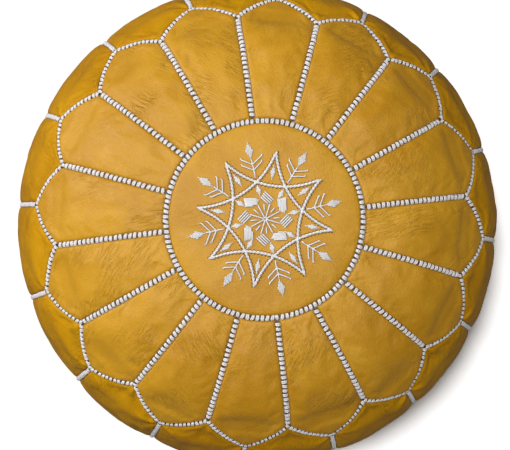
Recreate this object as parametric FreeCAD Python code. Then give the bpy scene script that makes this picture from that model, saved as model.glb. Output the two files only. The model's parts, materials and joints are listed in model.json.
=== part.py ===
import FreeCAD, Part

import math
import os

from FreeCAD import Vector

# Moroccan leather pouf: a round stuffed seat of hand-sewn goatskin panels.
#
# A round centre medallion is ringed by petals with scalloped outer edges. Tall side panels hang from
# the petals, turned half a pitch so that each side seam starts at a petal's tip, and roll under to a
# round base. The base is two half discs joined by a zip, through which a stuffed cotton liner goes in.
# Every seam is overcast with thick white thread, and the medallion carries an embroidered star.
#
# Frame: millimetres, +Z up, origin on the floor under the centre, zip along X.
# Each physical piece is one STEP file in parts/, named after the piece.

# All lengths in millimetres, all angles in degrees.

# ---------------------------------------------------------------- body outline
OUTER_RADIUS = 267.0  # widest point of the stuffed body
TOP_HEIGHT = 330.0  # crown of the medallion above the floor
CROWN_RADIUS = 740.0  # gentle dome of the seat
CROWN_END = 79.5  # where the dome turns into the shoulder, up from horizontal
SHOULDER_RADIUS = 180.0
SHOULDER_END = 48.0  # where the shoulder turns into the upper side
LOWER_SIDE_END = -22.0  # where the lower side turns into the foot roll
FOOT_RADIUS = 65.0
FOOT_GAP = 2.3  # the leather's height above the floor: it stands on the base seam's thread

# ---------------------------------------------------------------- leather panels
PITCH_COUNT = 16  # petals, and side panels
PITCH = 360.0 / PITCH_COUNT
FIRST_SEAM = 7.0  # direction of the first petal seam
MEDALLION_RADIUS = 101.0
CUSP_RADIUS = 218.0  # where a petal seam meets the scallops
TIP_RADIUS = 241.0  # tip of a petal, where a side seam starts
SCALLOP_RISE = 3.5  # bow of each half scallop
BASE_RADIUS = 175.0  # seam between the side panels and the base
BASE_FLAT_RADIUS = 150.0  # the base is flat inside this, and slopes down to its seam outside
BASE_LEVEL = 12.0  # lower face of the flat part
LEATHER = 1.8
SEAM_GAP = 1.2  # between two leather edges, under the thread
CLEAR = 0.1  # air between pieces that lie on each other

# ---------------------------------------------------------------- seam thread
THREAD_WIDTH = 7.0
THREAD_HEIGHT = 2.2
THREAD_BREAK = 0.3  # air where two seams meet
CENTRE_THREAD_WIDTH = 5.0
CENTRE_THREAD_HEIGHT = 1.6

# ---------------------------------------------------------------- embroidery
EMBROIDERY_HEIGHT = 1.1
STAR_POINTS = 8
STAR_TIP_RADIUS = 69.7
STAR_TURN = -9.3  # direction of the first star tip
STAR_LINE = 3.0
STAR_BOW = 0.495  # how near the centre a star side comes, as a share of the tip radius
BLOCK_TURN = 4.0  # the blocks round the centre, from the star tips
BLOCK_LEAN = 10.0  # pinwheel tilt of each block
BLOCK_SIZE = (11.5, 9.5)
BLOCK_RADIUS = 22.2
RAY_TURN = -7.3  # the centre's long rays, from the star tips
FINE_LINE = 1.4

# ---------------------------------------------------------------- zip
ZIP_LEVEL = 14.25  # mid-height of the chain
ZIP_CLOSED_X = 112.0  # slider centre with the zip closed
ZIP_TRAVEL = 230.0
SLIDER_LENGTH = 16.0
SLIDER_HALF_NOSE = 6.4
SLIDER_HALF_TAIL = 5.3
SLIDER_PLATE = 1.5
CHANNEL_HALF = 4.1  # half the width of the channel through the slider
CHANNEL_AIR = 0.35  # air above and below the teeth in the channel
FLANGE = 1.2  # how far the slider's side walls reach towards the tape
CHAIN_HALF = 1.5  # half the chain's thickness
TOOTH_PITCH = 2.5
TOOTH_WIDTH = 1.15
TOOTH_REACH = 0.9  # how far a tooth's head passes the middle
TOOTH_BACK = 3.4  # where a tooth's jaws end on the tape
TAPE = 0.7
TAPE_EDGE = 1.5  # inner edge of each tape, from the middle
TAPE_OUTER = 16.0
TAPE_BOTTOM = BASE_LEVEL + LEATHER + CLEAR
STOP_MARGIN = 7.0  # from the slider at full travel to the chain's end
ZIP_START = ZIP_CLOSED_X - ZIP_TRAVEL - SLIDER_LENGTH / 2 - STOP_MARGIN
ZIP_END = ZIP_CLOSED_X + SLIDER_LENGTH / 2 + STOP_MARGIN
SLOT_HALF = 7.0  # half the width of the opening in the base leather
SLOT_MARGIN = 5.0
STITCH_PITCH = 4.0
STITCH_LENGTH = 3.0
STITCH_WIDTH = 1.0
STITCH_HEIGHT = 0.8
STITCH_OFFSET = 2.5  # stitch row's distance from the opening's edge

PULL_LEVEL = 8.9  # height of the pull's hinge axis
LUG_HALF_WIDTH = 1.5
LUG_HALF_LENGTH = 2.2
LUG_HOLE = 0.93
PIN_RADIUS = 0.85
PULL_HALF = 0.9  # half the pull's thickness
PULL_LENGTH = 32.0
PULL_HALF_WIDTH = 4.2
FORK_INNER = 1.8
FORK_OUTER = 3.6
FORK_DEPTH = 6.0

# ---------------------------------------------------------------- inside
LINER = 0.8
SLACK = 0.4  # air between leather, liner and filling
LINER_BOTTOM = ZIP_LEVEL + 7.0

# ---------------------------------------------------------------- working limits
PARTS = "parts"
FAR = 2000.0
SHAPE_TOP = 400.0  # above everything
UPPER_HALF = 150.0  # below every petal, above the foot
DOME_LOW = 300.0  # below the medallion's edge


# ---------------------------------------------------------------- small helpers
def rad(degrees):
    return math.radians(degrees)


def polar(radius, degrees):
    return Vector(radius * math.cos(rad(degrees)), radius * math.sin(rad(degrees)), 0)


def save(name, shapes):
    """One node: one STEP file holding the node's solids."""
    found = [s for shape in shapes for s in shape.Solids]
    whole = found[0] if len(found) == 1 else Part.makeCompound(found)
    whole.exportStep(f"{PARTS}/{name}.step")


def turned(shape, degrees):
    copy = shape.copy()
    copy.rotate(Vector(0, 0, 0), Vector(0, 0, 1), degrees)
    return copy


def all_round(shape):
    """The shape at every pitch."""
    return [turned(shape, k * PITCH) for k in range(PITCH_COUNT)]


def mirrored(shape):
    """The same piece on the other side of the zip."""
    return shape.mirror(Vector(0, 0, 0), Vector(0, 1, 0))


def box(x0, x1, y0, y1, z0, z1):
    return Part.makeBox(x1 - x0, y1 - y0, z1 - z0, Vector(x0, y0, z0))


def polygon_face(points):
    return Part.Face(Part.makePolygon(points + points[:1]))


def arc(start, middle, end):
    return Part.Arc(start, middle, end).toShape()


def upright(face, z0=-10.0, z1=SHAPE_TOP):
    """A plan shape drawn at z 0, as a vertical prism."""
    solid = face.extrude(Vector(0, 0, z1 - z0))
    solid.translate(Vector(0, 0, z0))
    return solid


def tube(radius, width, height):
    """A ring wall of the given width, centred on the radius."""
    outer = Part.makeCylinder(radius + width / 2, height)
    return outer.cut(Part.makeCylinder(radius - width / 2, height))


def edges_along(shape, direction):
    return [e for e in shape.Edges if abs(e.tangentAt(e.FirstParameter).dot(direction)) > 0.99]


# ---------------------------------------------------------------- body outline
def body_arcs():
    """(centre r, centre z, radius, start, end) of each arc of the outline, crown to foot."""
    crown_end = rad(CROWN_END)
    shoulder_end = rad(SHOULDER_END)
    lower_end = rad(LOWER_SIDE_END)
    crown_z = TOP_HEIGHT - CROWN_RADIUS
    shoulder_r = (CROWN_RADIUS - SHOULDER_RADIUS) * math.cos(crown_end)
    shoulder_z = crown_z + (CROWN_RADIUS - SHOULDER_RADIUS) * math.sin(crown_end)
    # The upper side turns upright at the widest point, which sets its radius.
    reach = OUTER_RADIUS - shoulder_r - SHOULDER_RADIUS * math.cos(shoulder_end)
    side = reach / (1 - math.cos(shoulder_end))
    side_r = OUTER_RADIUS - side
    widest_z = shoulder_z + (SHOULDER_RADIUS - side) * math.sin(shoulder_end)
    # The lower side and the foot roll together come down to the leather's lowest level.
    drop = widest_z - FOOT_GAP
    lower = (drop - FOOT_RADIUS * (1 + math.sin(lower_end))) / -math.sin(lower_end)
    lower_r = OUTER_RADIUS - lower
    foot_r = lower_r + (lower - FOOT_RADIUS) * math.cos(lower_end)
    foot_z = widest_z + (lower - FOOT_RADIUS) * math.sin(lower_end)
    return [
        (0.0, crown_z, CROWN_RADIUS, 90.0, CROWN_END),
        (shoulder_r, shoulder_z, SHOULDER_RADIUS, CROWN_END, SHOULDER_END),
        (side_r, widest_z, side, SHOULDER_END, 0.0),
        (lower_r, widest_z, lower, 0.0, LOWER_SIDE_END),
        (foot_r, foot_z, FOOT_RADIUS, LOWER_SIDE_END, -90.0),
    ]


def outline(offset):
    """The outline in the XZ plane, moved outwards by offset, as arcs from crown to foot."""
    edges = []
    for centre_r, centre_z, radius, start, end in body_arcs():
        size = radius + offset
        points = []
        for angle in (start, (start + end) / 2, end):
            r = centre_r + size * math.cos(rad(angle))
            z = centre_z + size * math.sin(rad(angle))
            points.append(Vector(r, 0, z))
        edges.append(arc(*points))
    return edges


def backwards(edges):
    """The same arcs, walked from foot to crown."""
    flipped = []
    for edge in reversed(edges):
        middle = edge.valueAt((edge.FirstParameter + edge.LastParameter) / 2)
        flipped.append(arc(edge.Vertexes[-1].Point, middle, edge.Vertexes[0].Point))
    return flipped


def spin(items):
    """Joins arcs and points in order into a closed outline, and turns it round Z."""
    edges = []
    corners = []
    for item in items:
        is_point = isinstance(item, Vector)
        start = item if is_point else item.Vertexes[0].Point
        end = item if is_point else item.Vertexes[-1].Point
        if corners and corners[-1].distanceToPoint(start) > 1e-6:
            edges.append(Part.makeLine(corners[-1], start))
        if not is_point:
            edges.append(item)
        corners += [start, end]
    edges.append(Part.makeLine(corners[-1], corners[0]))
    face = Part.Face(Part.Wire(edges))
    return face.revolve(Vector(0, 0, 0), Vector(0, 0, 1), 360)


def layer(inner, outer, reach):
    """A skin between two offsets of the outline, carried in under the foot as far as reach."""
    under = [Vector(reach, 0, FOOT_GAP - outer), Vector(reach, 0, FOOT_GAP - inner)]
    return spin(outline(outer) + under + backwards(outline(inner)))


def bag(offset, bottom):
    """A closed body inside the leather, hollowed up over the zip to a flat bottom."""
    under = [
        Vector(BASE_RADIUS - 2 * offset, 0, FOOT_GAP - offset),
        Vector(BASE_FLAT_RADIUS + offset, 0, bottom),
        Vector(0, 0, bottom),
    ]
    return spin(outline(offset) + under)


def base_height(radius):
    """Height of the base leather's lower face."""
    rim = BASE_RADIUS - SEAM_GAP / 2
    share = max(0.0, (radius - BASE_FLAT_RADIUS) / (rim - BASE_FLAT_RADIUS))
    return BASE_LEVEL + (FOOT_GAP - BASE_LEVEL) * share


def base_disc(rim, low, high):
    """A disc that follows the base, between two heights from its lower face."""
    radii = [0.0, BASE_FLAT_RADIUS, rim]
    under = [Vector(r, 0, base_height(r) + low) for r in radii]
    over = [Vector(r, 0, base_height(r) + high) for r in reversed(radii)]
    return spin(under + over)


# ---------------------------------------------------------------- seams in plan
def scallop_half(start_radius, start_angle, end_radius, end_angle):
    """One bowed edge between a cusp and a tip, bulging away from the centre."""
    start = polar(start_radius, start_angle)
    end = polar(end_radius, end_angle)
    middle = (start + end) * 0.5
    across = Vector(-(end - start).y, (end - start).x, 0).normalize()
    if across.dot(middle) < 0:
        across = across * -1
    return arc(start, middle + across * SCALLOP_RISE, end)


def scallop_pair(cusp):
    """The outer edge of one petal, from its first cusp over its tip to the next cusp."""
    tip = cusp + PITCH / 2
    return [
        scallop_half(CUSP_RADIUS, cusp, TIP_RADIUS, tip),
        scallop_half(TIP_RADIUS, tip, CUSP_RADIUS, cusp + PITCH),
    ]


def scallop_face():
    """Everything inside the closed scalloped seam."""
    edges = []
    for k in range(PITCH_COUNT):
        edges += scallop_pair(FIRST_SEAM + k * PITCH)
    return Part.Face(Part.Wire(edges))


def petal_face():
    """The first petal, up to the middle of its seams."""
    first = FIRST_SEAM
    last = FIRST_SEAM + PITCH
    inner = [polar(MEDALLION_RADIUS, a) for a in (last, (first + last) / 2, first)]
    side_in = Part.makeLine(polar(MEDALLION_RADIUS, first), polar(CUSP_RADIUS, first))
    side_out = Part.makeLine(polar(CUSP_RADIUS, last), polar(MEDALLION_RADIUS, last))
    return Part.Face(Part.Wire([side_in] + scallop_pair(first) + [side_out, arc(*inner)]))


def strip(angle, width, start, end):
    """A strip along a radius, in plan."""
    half = width / 2
    corners = [(start, -half), (end, -half), (end, half), (start, half)]
    return turned(polygon_face([Vector(x, y, 0) for x, y in corners]), angle)


def grown(face, amount):
    return face.makeOffset2D(amount)


# ---------------------------------------------------------------- leather cover
def make_top_leather(skin):
    disc = Part.makeCylinder(MEDALLION_RADIUS - SEAM_GAP / 2, SHAPE_TOP)
    save("medallion", [skin.common(disc)])
    petal = skin.common(upright(grown(petal_face(), -SEAM_GAP / 2), UPPER_HALF))
    for number, shape in enumerate(all_round(petal), start=1):
        save(f"petal_{number:02d}", [shape])


def make_side_leather(skin, scallops):
    """A panel lies between two petal tips, with a petal seam at the middle of its top edge."""
    gap = SEAM_GAP / 2
    apex = Vector(gap / math.sin(rad(PITCH / 2)), 0, 0)
    sides = [apex + polar(OUTER_RADIUS * 2, a) for a in (-PITCH / 2, PITCH / 2)]
    wedge = turned(polygon_face([apex] + sides), FIRST_SEAM)
    cap = upright(grown(scallops, gap), UPPER_HALF)
    panel = skin.common(upright(wedge)).cut(cap)
    for number, shape in enumerate(all_round(panel), start=1):
        save(f"side_panel_{number:02d}", [shape])


def make_base_leather():
    """Two half discs with an opening for the zip between them."""
    gap = SEAM_GAP / 2
    start = ZIP_START - SLOT_MARGIN
    end = ZIP_END + SLOT_MARGIN
    opening = box(start, end, -SLOT_HALF, SLOT_HALF, 0, SHAPE_TOP)
    plate = base_disc(BASE_RADIUS - gap, 0, LEATHER).cut(opening)
    back = plate.common(box(-FAR, FAR, gap, FAR, 0, SHAPE_TOP))
    save("base_back_half", [back])
    save("base_front_half", [mirrored(back)])


# ---------------------------------------------------------------- seam thread
def make_seam_threads(scallops):
    coat = layer(CLEAR, THREAD_HEIGHT + CLEAR, BASE_RADIUS)
    half = THREAD_WIDTH / 2
    save("medallion_ring_thread", [coat.common(tube(MEDALLION_RADIUS, THREAD_WIDTH, SHAPE_TOP))])

    wave = upright(grown(scallops, half), UPPER_HALF).cut(upright(grown(scallops, -half)))
    save("scallop_thread", [coat.common(wave)])

    inside = grown(scallops, -half - THREAD_BREAK)
    start = MEDALLION_RADIUS + half + THREAD_BREAK
    spoke = strip(FIRST_SEAM, THREAD_WIDTH, start, OUTER_RADIUS)
    save("petal_seam_threads", all_round(coat.common(upright(spoke.common(inside), UPPER_HALF))))

    outside = upright(grown(scallops, half + THREAD_BREAK), UPPER_HALF)
    start = BASE_RADIUS + half + THREAD_BREAK
    rib = strip(FIRST_SEAM + PITCH / 2, THREAD_WIDTH, start, OUTER_RADIUS * 2)
    save("side_seam_threads", all_round(coat.common(upright(rib)).cut(outside)))

    save("base_ring_thread", [tube(BASE_RADIUS, THREAD_WIDTH, THREAD_HEIGHT)])


def make_base_centre_threads():
    """The short closed seams between the zip's ends and the base seam."""
    rim = BASE_RADIUS - THREAD_WIDTH / 2 - THREAD_BREAK
    coat = base_disc(rim, -CLEAR - CENTRE_THREAD_HEIGHT, -CLEAR)
    half = CENTRE_THREAD_WIDTH / 2
    margin = SLOT_MARGIN + THREAD_BREAK
    ends = [
        box(-FAR, ZIP_START - margin, -half, half, 0, SHAPE_TOP),
        box(ZIP_END + margin, FAR, -half, half, 0, SHAPE_TOP),
    ]
    save("base_centre_threads", [coat.common(end) for end in ends])


# ---------------------------------------------------------------- embroidery on the medallion
def laid(prisms, coat):
    """Upright prisms cut to a thin layer on the medallion's dome."""
    return [coat.common(prism) for prism in prisms]


def lozenge(radius, angle, length, width):
    """A lozenge pointing away from the centre."""
    corners = [(-length / 2, 0), (0, -width / 2), (length / 2, 0), (0, width / 2)]
    face = polygon_face([Vector(radius + x, y, 0) for x, y in corners])
    return upright(turned(face, angle), DOME_LOW)


def thread(start, end, width):
    """A straight run of thread between two plan points."""
    along = (end - start).normalize()
    side = Vector(-along.y, along.x, 0) * (width / 2)
    return upright(polygon_face([start - side, end - side, end + side, start + side]), DOME_LOW)


def star_side(tip_angle):
    """One bowed side of the star, from a tip to the next tip but one."""
    step = 360.0 / STAR_POINTS
    start = polar(STAR_TIP_RADIUS, tip_angle)
    end = polar(STAR_TIP_RADIUS, tip_angle + 2 * step)
    middle = polar(STAR_TIP_RADIUS * STAR_BOW, tip_angle + step)
    circle = arc(start, middle, end).Curve
    centre = circle.Center
    wedge = polygon_face([centre, centre + (start - centre) * 2, centre + (end - centre) * 2])
    ring = tube(circle.Radius, STAR_LINE, SHAPE_TOP)
    ring.translate(centre)
    return ring.common(upright(wedge, DOME_LOW))


def block(angle):
    """A satin-stitched block, leaning like a pinwheel's blade."""
    length, width = BLOCK_SIZE
    corners = [(-length, -width), (length, -width), (length, width), (-length, width)]
    face = turned(polygon_face([Vector(x / 2, y / 2, 0) for x, y in corners]), BLOCK_LEAN)
    face.translate(Vector(BLOCK_RADIUS, 0, 0))
    return upright(turned(face, angle), DOME_LOW)


def sprig(angle):
    """A stem with two pairs of leaves, growing outwards from a crossing of the star."""
    stem_start, stem_end = 43.5, 61.5
    leaf_roots = (51.0, 57.0)
    leaf_out = 7.0
    leaf_across = 10.5
    pieces = [thread(polar(stem_start, angle), polar(stem_end, angle), FINE_LINE)]
    for root in leaf_roots:
        for side in (-90, 90):
            tip = polar(root + leaf_out, angle) + polar(leaf_across, angle + side)
            pieces.append(thread(polar(root, angle), tip, FINE_LINE))
    return pieces[0].fuse(pieces[1:]).removeSplitter()


def make_embroidery():
    coat = layer(CLEAR, CLEAR + EMBROIDERY_HEIGHT, BASE_RADIUS)
    coat = coat.common(Part.makeCylinder(MEDALLION_RADIUS - THREAD_WIDTH, SHAPE_TOP))
    step = 360.0 / STAR_POINTS
    tips = [STAR_TURN + k * step for k in range(STAR_POINTS)]
    crossings = [a + step / 2 for a in tips]

    sides = [star_side(a) for a in tips]
    star = sides[0].fuse(sides[1:]).removeSplitter()
    save("embroidery_star", laid([star], coat))

    in_points = [lozenge(48.4, a, 15.0, 4.2) for a in tips]
    in_crossings = [lozenge(30.0, a, 10.5, 4.4) for a in crossings]
    outer = [lozenge(71.4, a, 17.0, 9.0) for a in crossings]
    save("embroidery_lozenges", laid(in_points + in_crossings + outer, coat))

    save("embroidery_blocks", laid([block(a + BLOCK_TURN) for a in tips], coat))

    rays = []
    for k in range(STAR_POINTS):
        long_ray = tips[k] + RAY_TURN
        short_ray = crossings[k] + RAY_TURN
        rays.append(thread(polar(2.8, long_ray), polar(15.5, long_ray), FINE_LINE))
        rays.append(thread(polar(9.0, short_ray), polar(14.5, short_ray), FINE_LINE))
    save("embroidery_rays", laid(rays, coat))

    save("embroidery_sprigs", laid([sprig(a) for a in crossings], coat))


# ---------------------------------------------------------------- zip
def clamp(x, length, head):
    """A block crimped on the back tape's edge, with its head reaching to y = head."""
    tape_low = TAPE_BOTTOM - CLEAR / 2
    tape_high = TAPE_BOTTOM + TAPE + CLEAR / 2
    low = ZIP_LEVEL - CHAIN_HALF
    high = ZIP_LEVEL + CHAIN_HALF
    root = TAPE_EDGE - CLEAR
    corners = [
        (head, low),
        (TOOTH_BACK, low),
        (TOOTH_BACK, tape_low),
        (root, tape_low),
        (root, tape_high),
        (TOOTH_BACK, tape_high),
        (TOOTH_BACK, high),
        (head, high),
    ]
    return polygon_face([Vector(x, y, z) for y, z in corners]).extrude(Vector(length, 0, 0))


def make_zip_chain():
    margin = SLOT_MARGIN + 7
    start = ZIP_START - margin
    end = ZIP_END + margin
    tape = box(start, end, TAPE_EDGE, TAPE_OUTER, TAPE_BOTTOM, TAPE_BOTTOM + TAPE)
    save("zip_tape_back", [tape])
    save("zip_tape_front", [mirrored(tape)])

    stop_length = 4.0
    stop_x = ZIP_START + STOP_MARGIN - 1.5 - stop_length
    bottom_half = clamp(stop_x, stop_length, 0.0)
    save("zip_bottom_stop", [bottom_half.fuse(mirrored(bottom_half)).removeSplitter()])

    top_stop = clamp(ZIP_CLOSED_X + SLIDER_LENGTH / 2 + 1, 3.0, 0.5)
    save("zip_top_stops", [top_stop, mirrored(top_stop)])

    first = stop_x + stop_length + 0.5
    count = int((ZIP_CLOSED_X + 2 - first) / TOOTH_PITCH)
    starts = [first + k * TOOTH_PITCH for k in range(count)]
    save("zip_teeth_back", [clamp(x, TOOTH_WIDTH, -TOOTH_REACH) for x in starts])
    shifted = [clamp(x + TOOTH_PITCH / 2, TOOTH_WIDTH, -TOOTH_REACH) for x in starts]
    save("zip_teeth_front", [mirrored(s) for s in shifted])


def make_zip_stitching():
    """A row of stitches on each side of the opening, holding the tapes to the base leather."""
    top = BASE_LEVEL - CLEAR
    near = SLOT_HALF + STITCH_OFFSET
    count = int((ZIP_END - ZIP_START) / STITCH_PITCH)
    row = []
    for k in range(count):
        x = ZIP_START + k * STITCH_PITCH
        row.append(box(x, x + STITCH_LENGTH, near, near + STITCH_WIDTH, top - STITCH_HEIGHT, top))
    save("zip_stitching", row + [mirrored(s) for s in row])


def slider_plate(z0, z1):
    """One plate of the slider: narrow at the tail, widest near the nose, corners rounded."""
    tail = -SLIDER_LENGTH / 2
    nose = SLIDER_LENGTH / 2
    edge = [
        (tail, SLIDER_HALF_TAIL),
        (nose - 5, SLIDER_HALF_TAIL + 0.3),
        (nose - 2, SLIDER_HALF_NOSE),
        (nose, SLIDER_HALF_NOSE - 1),
    ]
    points = [Vector(x, -y, 0) for x, y in edge] + [Vector(x, y, 0) for x, y in reversed(edge)]
    plate = upright(polygon_face(points), z0, z1)
    return plate.makeFillet(0.8, edges_along(plate, Vector(0, 0, 1)))


def make_slider():
    """Two plates joined by a wedge at the nose, open for the tapes at the sides, with a lug below."""
    nose = SLIDER_LENGTH / 2
    gap = CHAIN_HALF + CHANNEL_AIR
    floor = ZIP_LEVEL - gap
    ceiling = ZIP_LEVEL + gap
    low = slider_plate(floor - SLIDER_PLATE, floor + FLANGE)
    high = slider_plate(ceiling - FLANGE, ceiling + SLIDER_PLATE)
    channel = box(-FAR, FAR, -CHANNEL_HALF, CHANNEL_HALF, floor, ceiling)
    corners = [(nose - 4.6, 0), (nose - 2.6, -1.1), (nose - 1, 0), (nose - 2.6, 1.1)]
    divider = polygon_face([Vector(x, y, 0) for x, y in corners])
    divider = upright(divider, floor - 0.5, ceiling + 0.5)
    lug_low = PULL_LEVEL - 2
    lug = box(-LUG_HALF_LENGTH, LUG_HALF_LENGTH, -LUG_HALF_WIDTH, LUG_HALF_WIDTH, lug_low, floor - 1)
    low_edges = [e for e in edges_along(lug, Vector(0, 1, 0)) if e.CenterOfMass.z < PULL_LEVEL]
    lug = lug.makeFillet(1.2, low_edges)
    hole = Part.makeCylinder(LUG_HOLE, 10, Vector(0, -5, PULL_LEVEL), Vector(0, 1, 0))
    body = low.fuse(high).cut(channel).fuse([divider, lug]).cut(hole).removeSplitter()
    body.translate(Vector(ZIP_CLOSED_X, 0, 0))
    save("zip_slider", [body])


def make_pull():
    """A tab with a thumb hole, and a fork whose pin goes through the slider's lug."""
    low = PULL_LEVEL - PULL_HALF
    high = PULL_LEVEL + PULL_HALF
    across = Vector(0, 1, 0)
    arm = box(-FORK_DEPTH - 3, 0, FORK_INNER, FORK_OUTER, low, high)
    eye = Part.makeCylinder(
        PULL_HALF, FORK_OUTER - FORK_INNER, Vector(0, FORK_INNER, PULL_LEVEL), across
    )
    reach = FORK_INNER + 0.5
    pin = Part.makeCylinder(PIN_RADIUS, 2 * reach, Vector(0, -reach, PULL_LEVEL), across)
    tab = box(-PULL_LENGTH, -FORK_DEPTH, -PULL_HALF_WIDTH, PULL_HALF_WIDTH, low, high)
    tab = tab.makeFillet(2.0, edges_along(tab, Vector(0, 0, 1)))
    hole = Part.makeCylinder(2.2, FAR, Vector(-PULL_LENGTH + 5, 0, 0))
    fork = [arm, eye, mirrored(arm), mirrored(eye), pin]
    pull = tab.cut(hole).fuse(fork).removeSplitter()
    pull.translate(Vector(ZIP_CLOSED_X, 0, 0))
    save("zip_pull", [pull])


# ---------------------------------------------------------------- inside
def make_inside():
    outer = -LEATHER - SLACK
    inner = outer - LINER
    hollow = bag(inner, LINER_BOTTOM + LINER)
    save("inner_liner", [bag(outer, LINER_BOTTOM).cut(hollow)])
    save("filling", [bag(inner - SLACK, LINER_BOTTOM + LINER + SLACK)])


def main():
    os.makedirs(PARTS, exist_ok=True)
    skin = layer(-LEATHER, 0.0, BASE_RADIUS + SEAM_GAP / 2)
    scallops = scallop_face()
    make_top_leather(skin)
    make_side_leather(skin, scallops)
    make_base_leather()
    make_seam_threads(scallops)
    make_base_centre_threads()
    make_embroidery()
    make_zip_chain()
    make_zip_stitching()
    make_slider()
    make_pull()
    make_inside()


main()
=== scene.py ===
"""Looks for the leather pouf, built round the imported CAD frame. Metres and degrees unless said."""

import itertools
import json
import math
from collections import namedtuple
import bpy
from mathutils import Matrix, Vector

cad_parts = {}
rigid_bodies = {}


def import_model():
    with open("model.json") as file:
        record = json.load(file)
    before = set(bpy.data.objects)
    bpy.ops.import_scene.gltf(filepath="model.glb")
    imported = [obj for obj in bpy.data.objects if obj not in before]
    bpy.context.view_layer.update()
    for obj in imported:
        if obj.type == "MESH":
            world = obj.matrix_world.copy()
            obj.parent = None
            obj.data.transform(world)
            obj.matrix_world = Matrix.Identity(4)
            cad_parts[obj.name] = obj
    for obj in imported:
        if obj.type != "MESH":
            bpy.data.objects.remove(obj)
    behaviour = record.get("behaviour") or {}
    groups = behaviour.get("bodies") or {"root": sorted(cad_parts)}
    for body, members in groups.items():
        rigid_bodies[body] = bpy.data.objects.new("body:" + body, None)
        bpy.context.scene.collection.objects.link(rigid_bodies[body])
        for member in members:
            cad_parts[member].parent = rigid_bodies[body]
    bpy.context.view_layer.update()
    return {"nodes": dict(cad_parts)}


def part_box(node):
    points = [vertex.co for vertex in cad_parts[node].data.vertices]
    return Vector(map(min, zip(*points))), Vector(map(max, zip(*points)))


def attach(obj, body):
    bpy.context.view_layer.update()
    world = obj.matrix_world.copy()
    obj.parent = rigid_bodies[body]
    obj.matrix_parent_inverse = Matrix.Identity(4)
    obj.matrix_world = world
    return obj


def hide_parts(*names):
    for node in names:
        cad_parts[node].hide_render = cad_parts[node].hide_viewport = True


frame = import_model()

from types import SimpleNamespace

import bpy
import numpy as np
from mathutils import Matrix, Vector
from mathutils.bvhtree import BVHTree

MM = 0.001

# ---- sizes taken from the frame
LEATHER = 1.8 * MM
THREAD_WIDTH = 7 * MM
OUTER_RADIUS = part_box("side_panel_01")[1].x
FOOT_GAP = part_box("side_panel_01")[0].z
TOP_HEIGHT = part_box("medallion")[1].z
MEDALLION_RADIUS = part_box("medallion_ring_thread")[1].x - THREAD_WIDTH / 2
BASE_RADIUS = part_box("base_ring_thread")[1].x - THREAD_WIDTH / 2
BASE_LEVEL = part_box("base_back_half")[1].z - LEATHER
SLOT_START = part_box("zip_stitching")[0].x - 5 * MM
SLOT_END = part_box("zip_top_stops")[1].x + 9 * MM
STITCH_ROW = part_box("zip_stitching")[1].y - 0.5 * MM
LINER_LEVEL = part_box("zip_slider")[1].z + 4 * MM

# ---- sizes shared with the CAD
CROWN_RADIUS = 740 * MM
CROWN_END = 79.5
SHOULDER_RADIUS = 180 * MM
SHOULDER_END = 48.0
LOWER_SIDE_END = -22.0
FOOT_RADIUS = 65 * MM
PITCH_COUNT = 16
PITCH = 360.0 / PITCH_COUNT
FIRST_SEAM = 7.0
CUSP_RADIUS = 218 * MM
TIP_RADIUS = 241 * MM
SCALLOP_RISE = 3.5 * MM
BASE_FLAT_RADIUS = 150 * MM
SLOT_HALF = 7 * MM
BODY_MIDDLE = 165 * MM  # half way up, where rays that look for the leather pass

# ---- how the leather lies
SEAM_DEPTH = 2.4 * MM  # how far a seam is drawn in
PUFF = 3.7 * MM  # how far a panel's middle stands over its seams
PUFF_REACH = 6 * MM
ROLL = 1.3 * MM  # how far the leather beside a seam rolls up over its stitches
EDGE_BACK = 1.15 * MM  # from the seam's middle to where a leather edge starts to roll under
EDGE_ROLL, EDGE_PROUD = 0.9 * MM, 0.5 * MM  # how deep the roll goes, and how far it stands out
SCALLOP_SLANT = 0.92  # distance to a scallop, as a share of the distance down the outline to it
CELLS_ACROSS = 24
PETAL_CELLS, SIDE_CELLS = 44, 84  # from a strip's top to its bottom
FINE_CELLS = {"medallion": (150, 150), "petal": (60, 100), "side": (64, 160)}  # across, along
COARSE_STEP = 4  # a panel's inner face has every fourth point of its outer face
CLOTH_FRAMES = 16
SLACK_SHARE = 0.5  # how much of the simulated buckling the smooth, well stuffed leather keeps
SLACK_MOST = 2.2 * MM
WELD_STEP = 0.02 * MM
BASE_CELLS = 110
BASE_CORNER = 42.0  # angle from the zip at which a half's side edge meets its far edge
BASE_GATHERS = 90 * MM  # length of the wrinkles that run in from the round seam
INNER_FLAT_RADIUS = 140 * MM
INNER_CLEARANCE = 4 * MM  # between the base, the liner and the wadding
BAG_COLUMNS, BAG_ROWS, BAG_FLOOR_ROWS = 240, 110, 24
BAG_END = 25 * MM  # how far before the outline's end a bag's side turns in under it
BAG_WRINKLE = 35 * MM
BAG_MIDDLE = 160 * MM

# ---- how the seams are sewn, in millimetres
Sewing = namedtuple("Sewing", "pitch start end half_width radius lean sides step_seed thread_seed")
RING_SEWING = Sewing(5.1, 0, 0, 2.2, 1.0, 0.3, 7, 1, 11)
SCALLOP_SEWING = Sewing(5.0, 0, 0, 1.7, 0.98, 0.5, 7, 2, 12)
PETAL_SEWING = Sewing(5.1, 4.2, 3.4, 2.15, 1.0, 0.25, 7, 20, 40)
SIDE_SEWING = Sewing(4.1, 3.4, 4.2, 1.9, 0.9, 0.2, 5, 60, 80)
STITCH_PATH = np.array([-1.12, -1.0, -0.8, -0.45, 0.0, 0.45, 0.8, 1.0, 1.12])  # in half widths
STITCH_LIFT = np.array([-1.3, -0.1, 0.75, 1.05, 1.1, 1.05, 0.75, -0.1, -1.3])  # in thread radii
BASE_RING_STITCHES = 216
BASE_RING_THREAD = 0.85 * MM
BASE_CENTRE_THREAD = 0.6 * MM
ZIP_THREAD = 0.42 * MM
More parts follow.
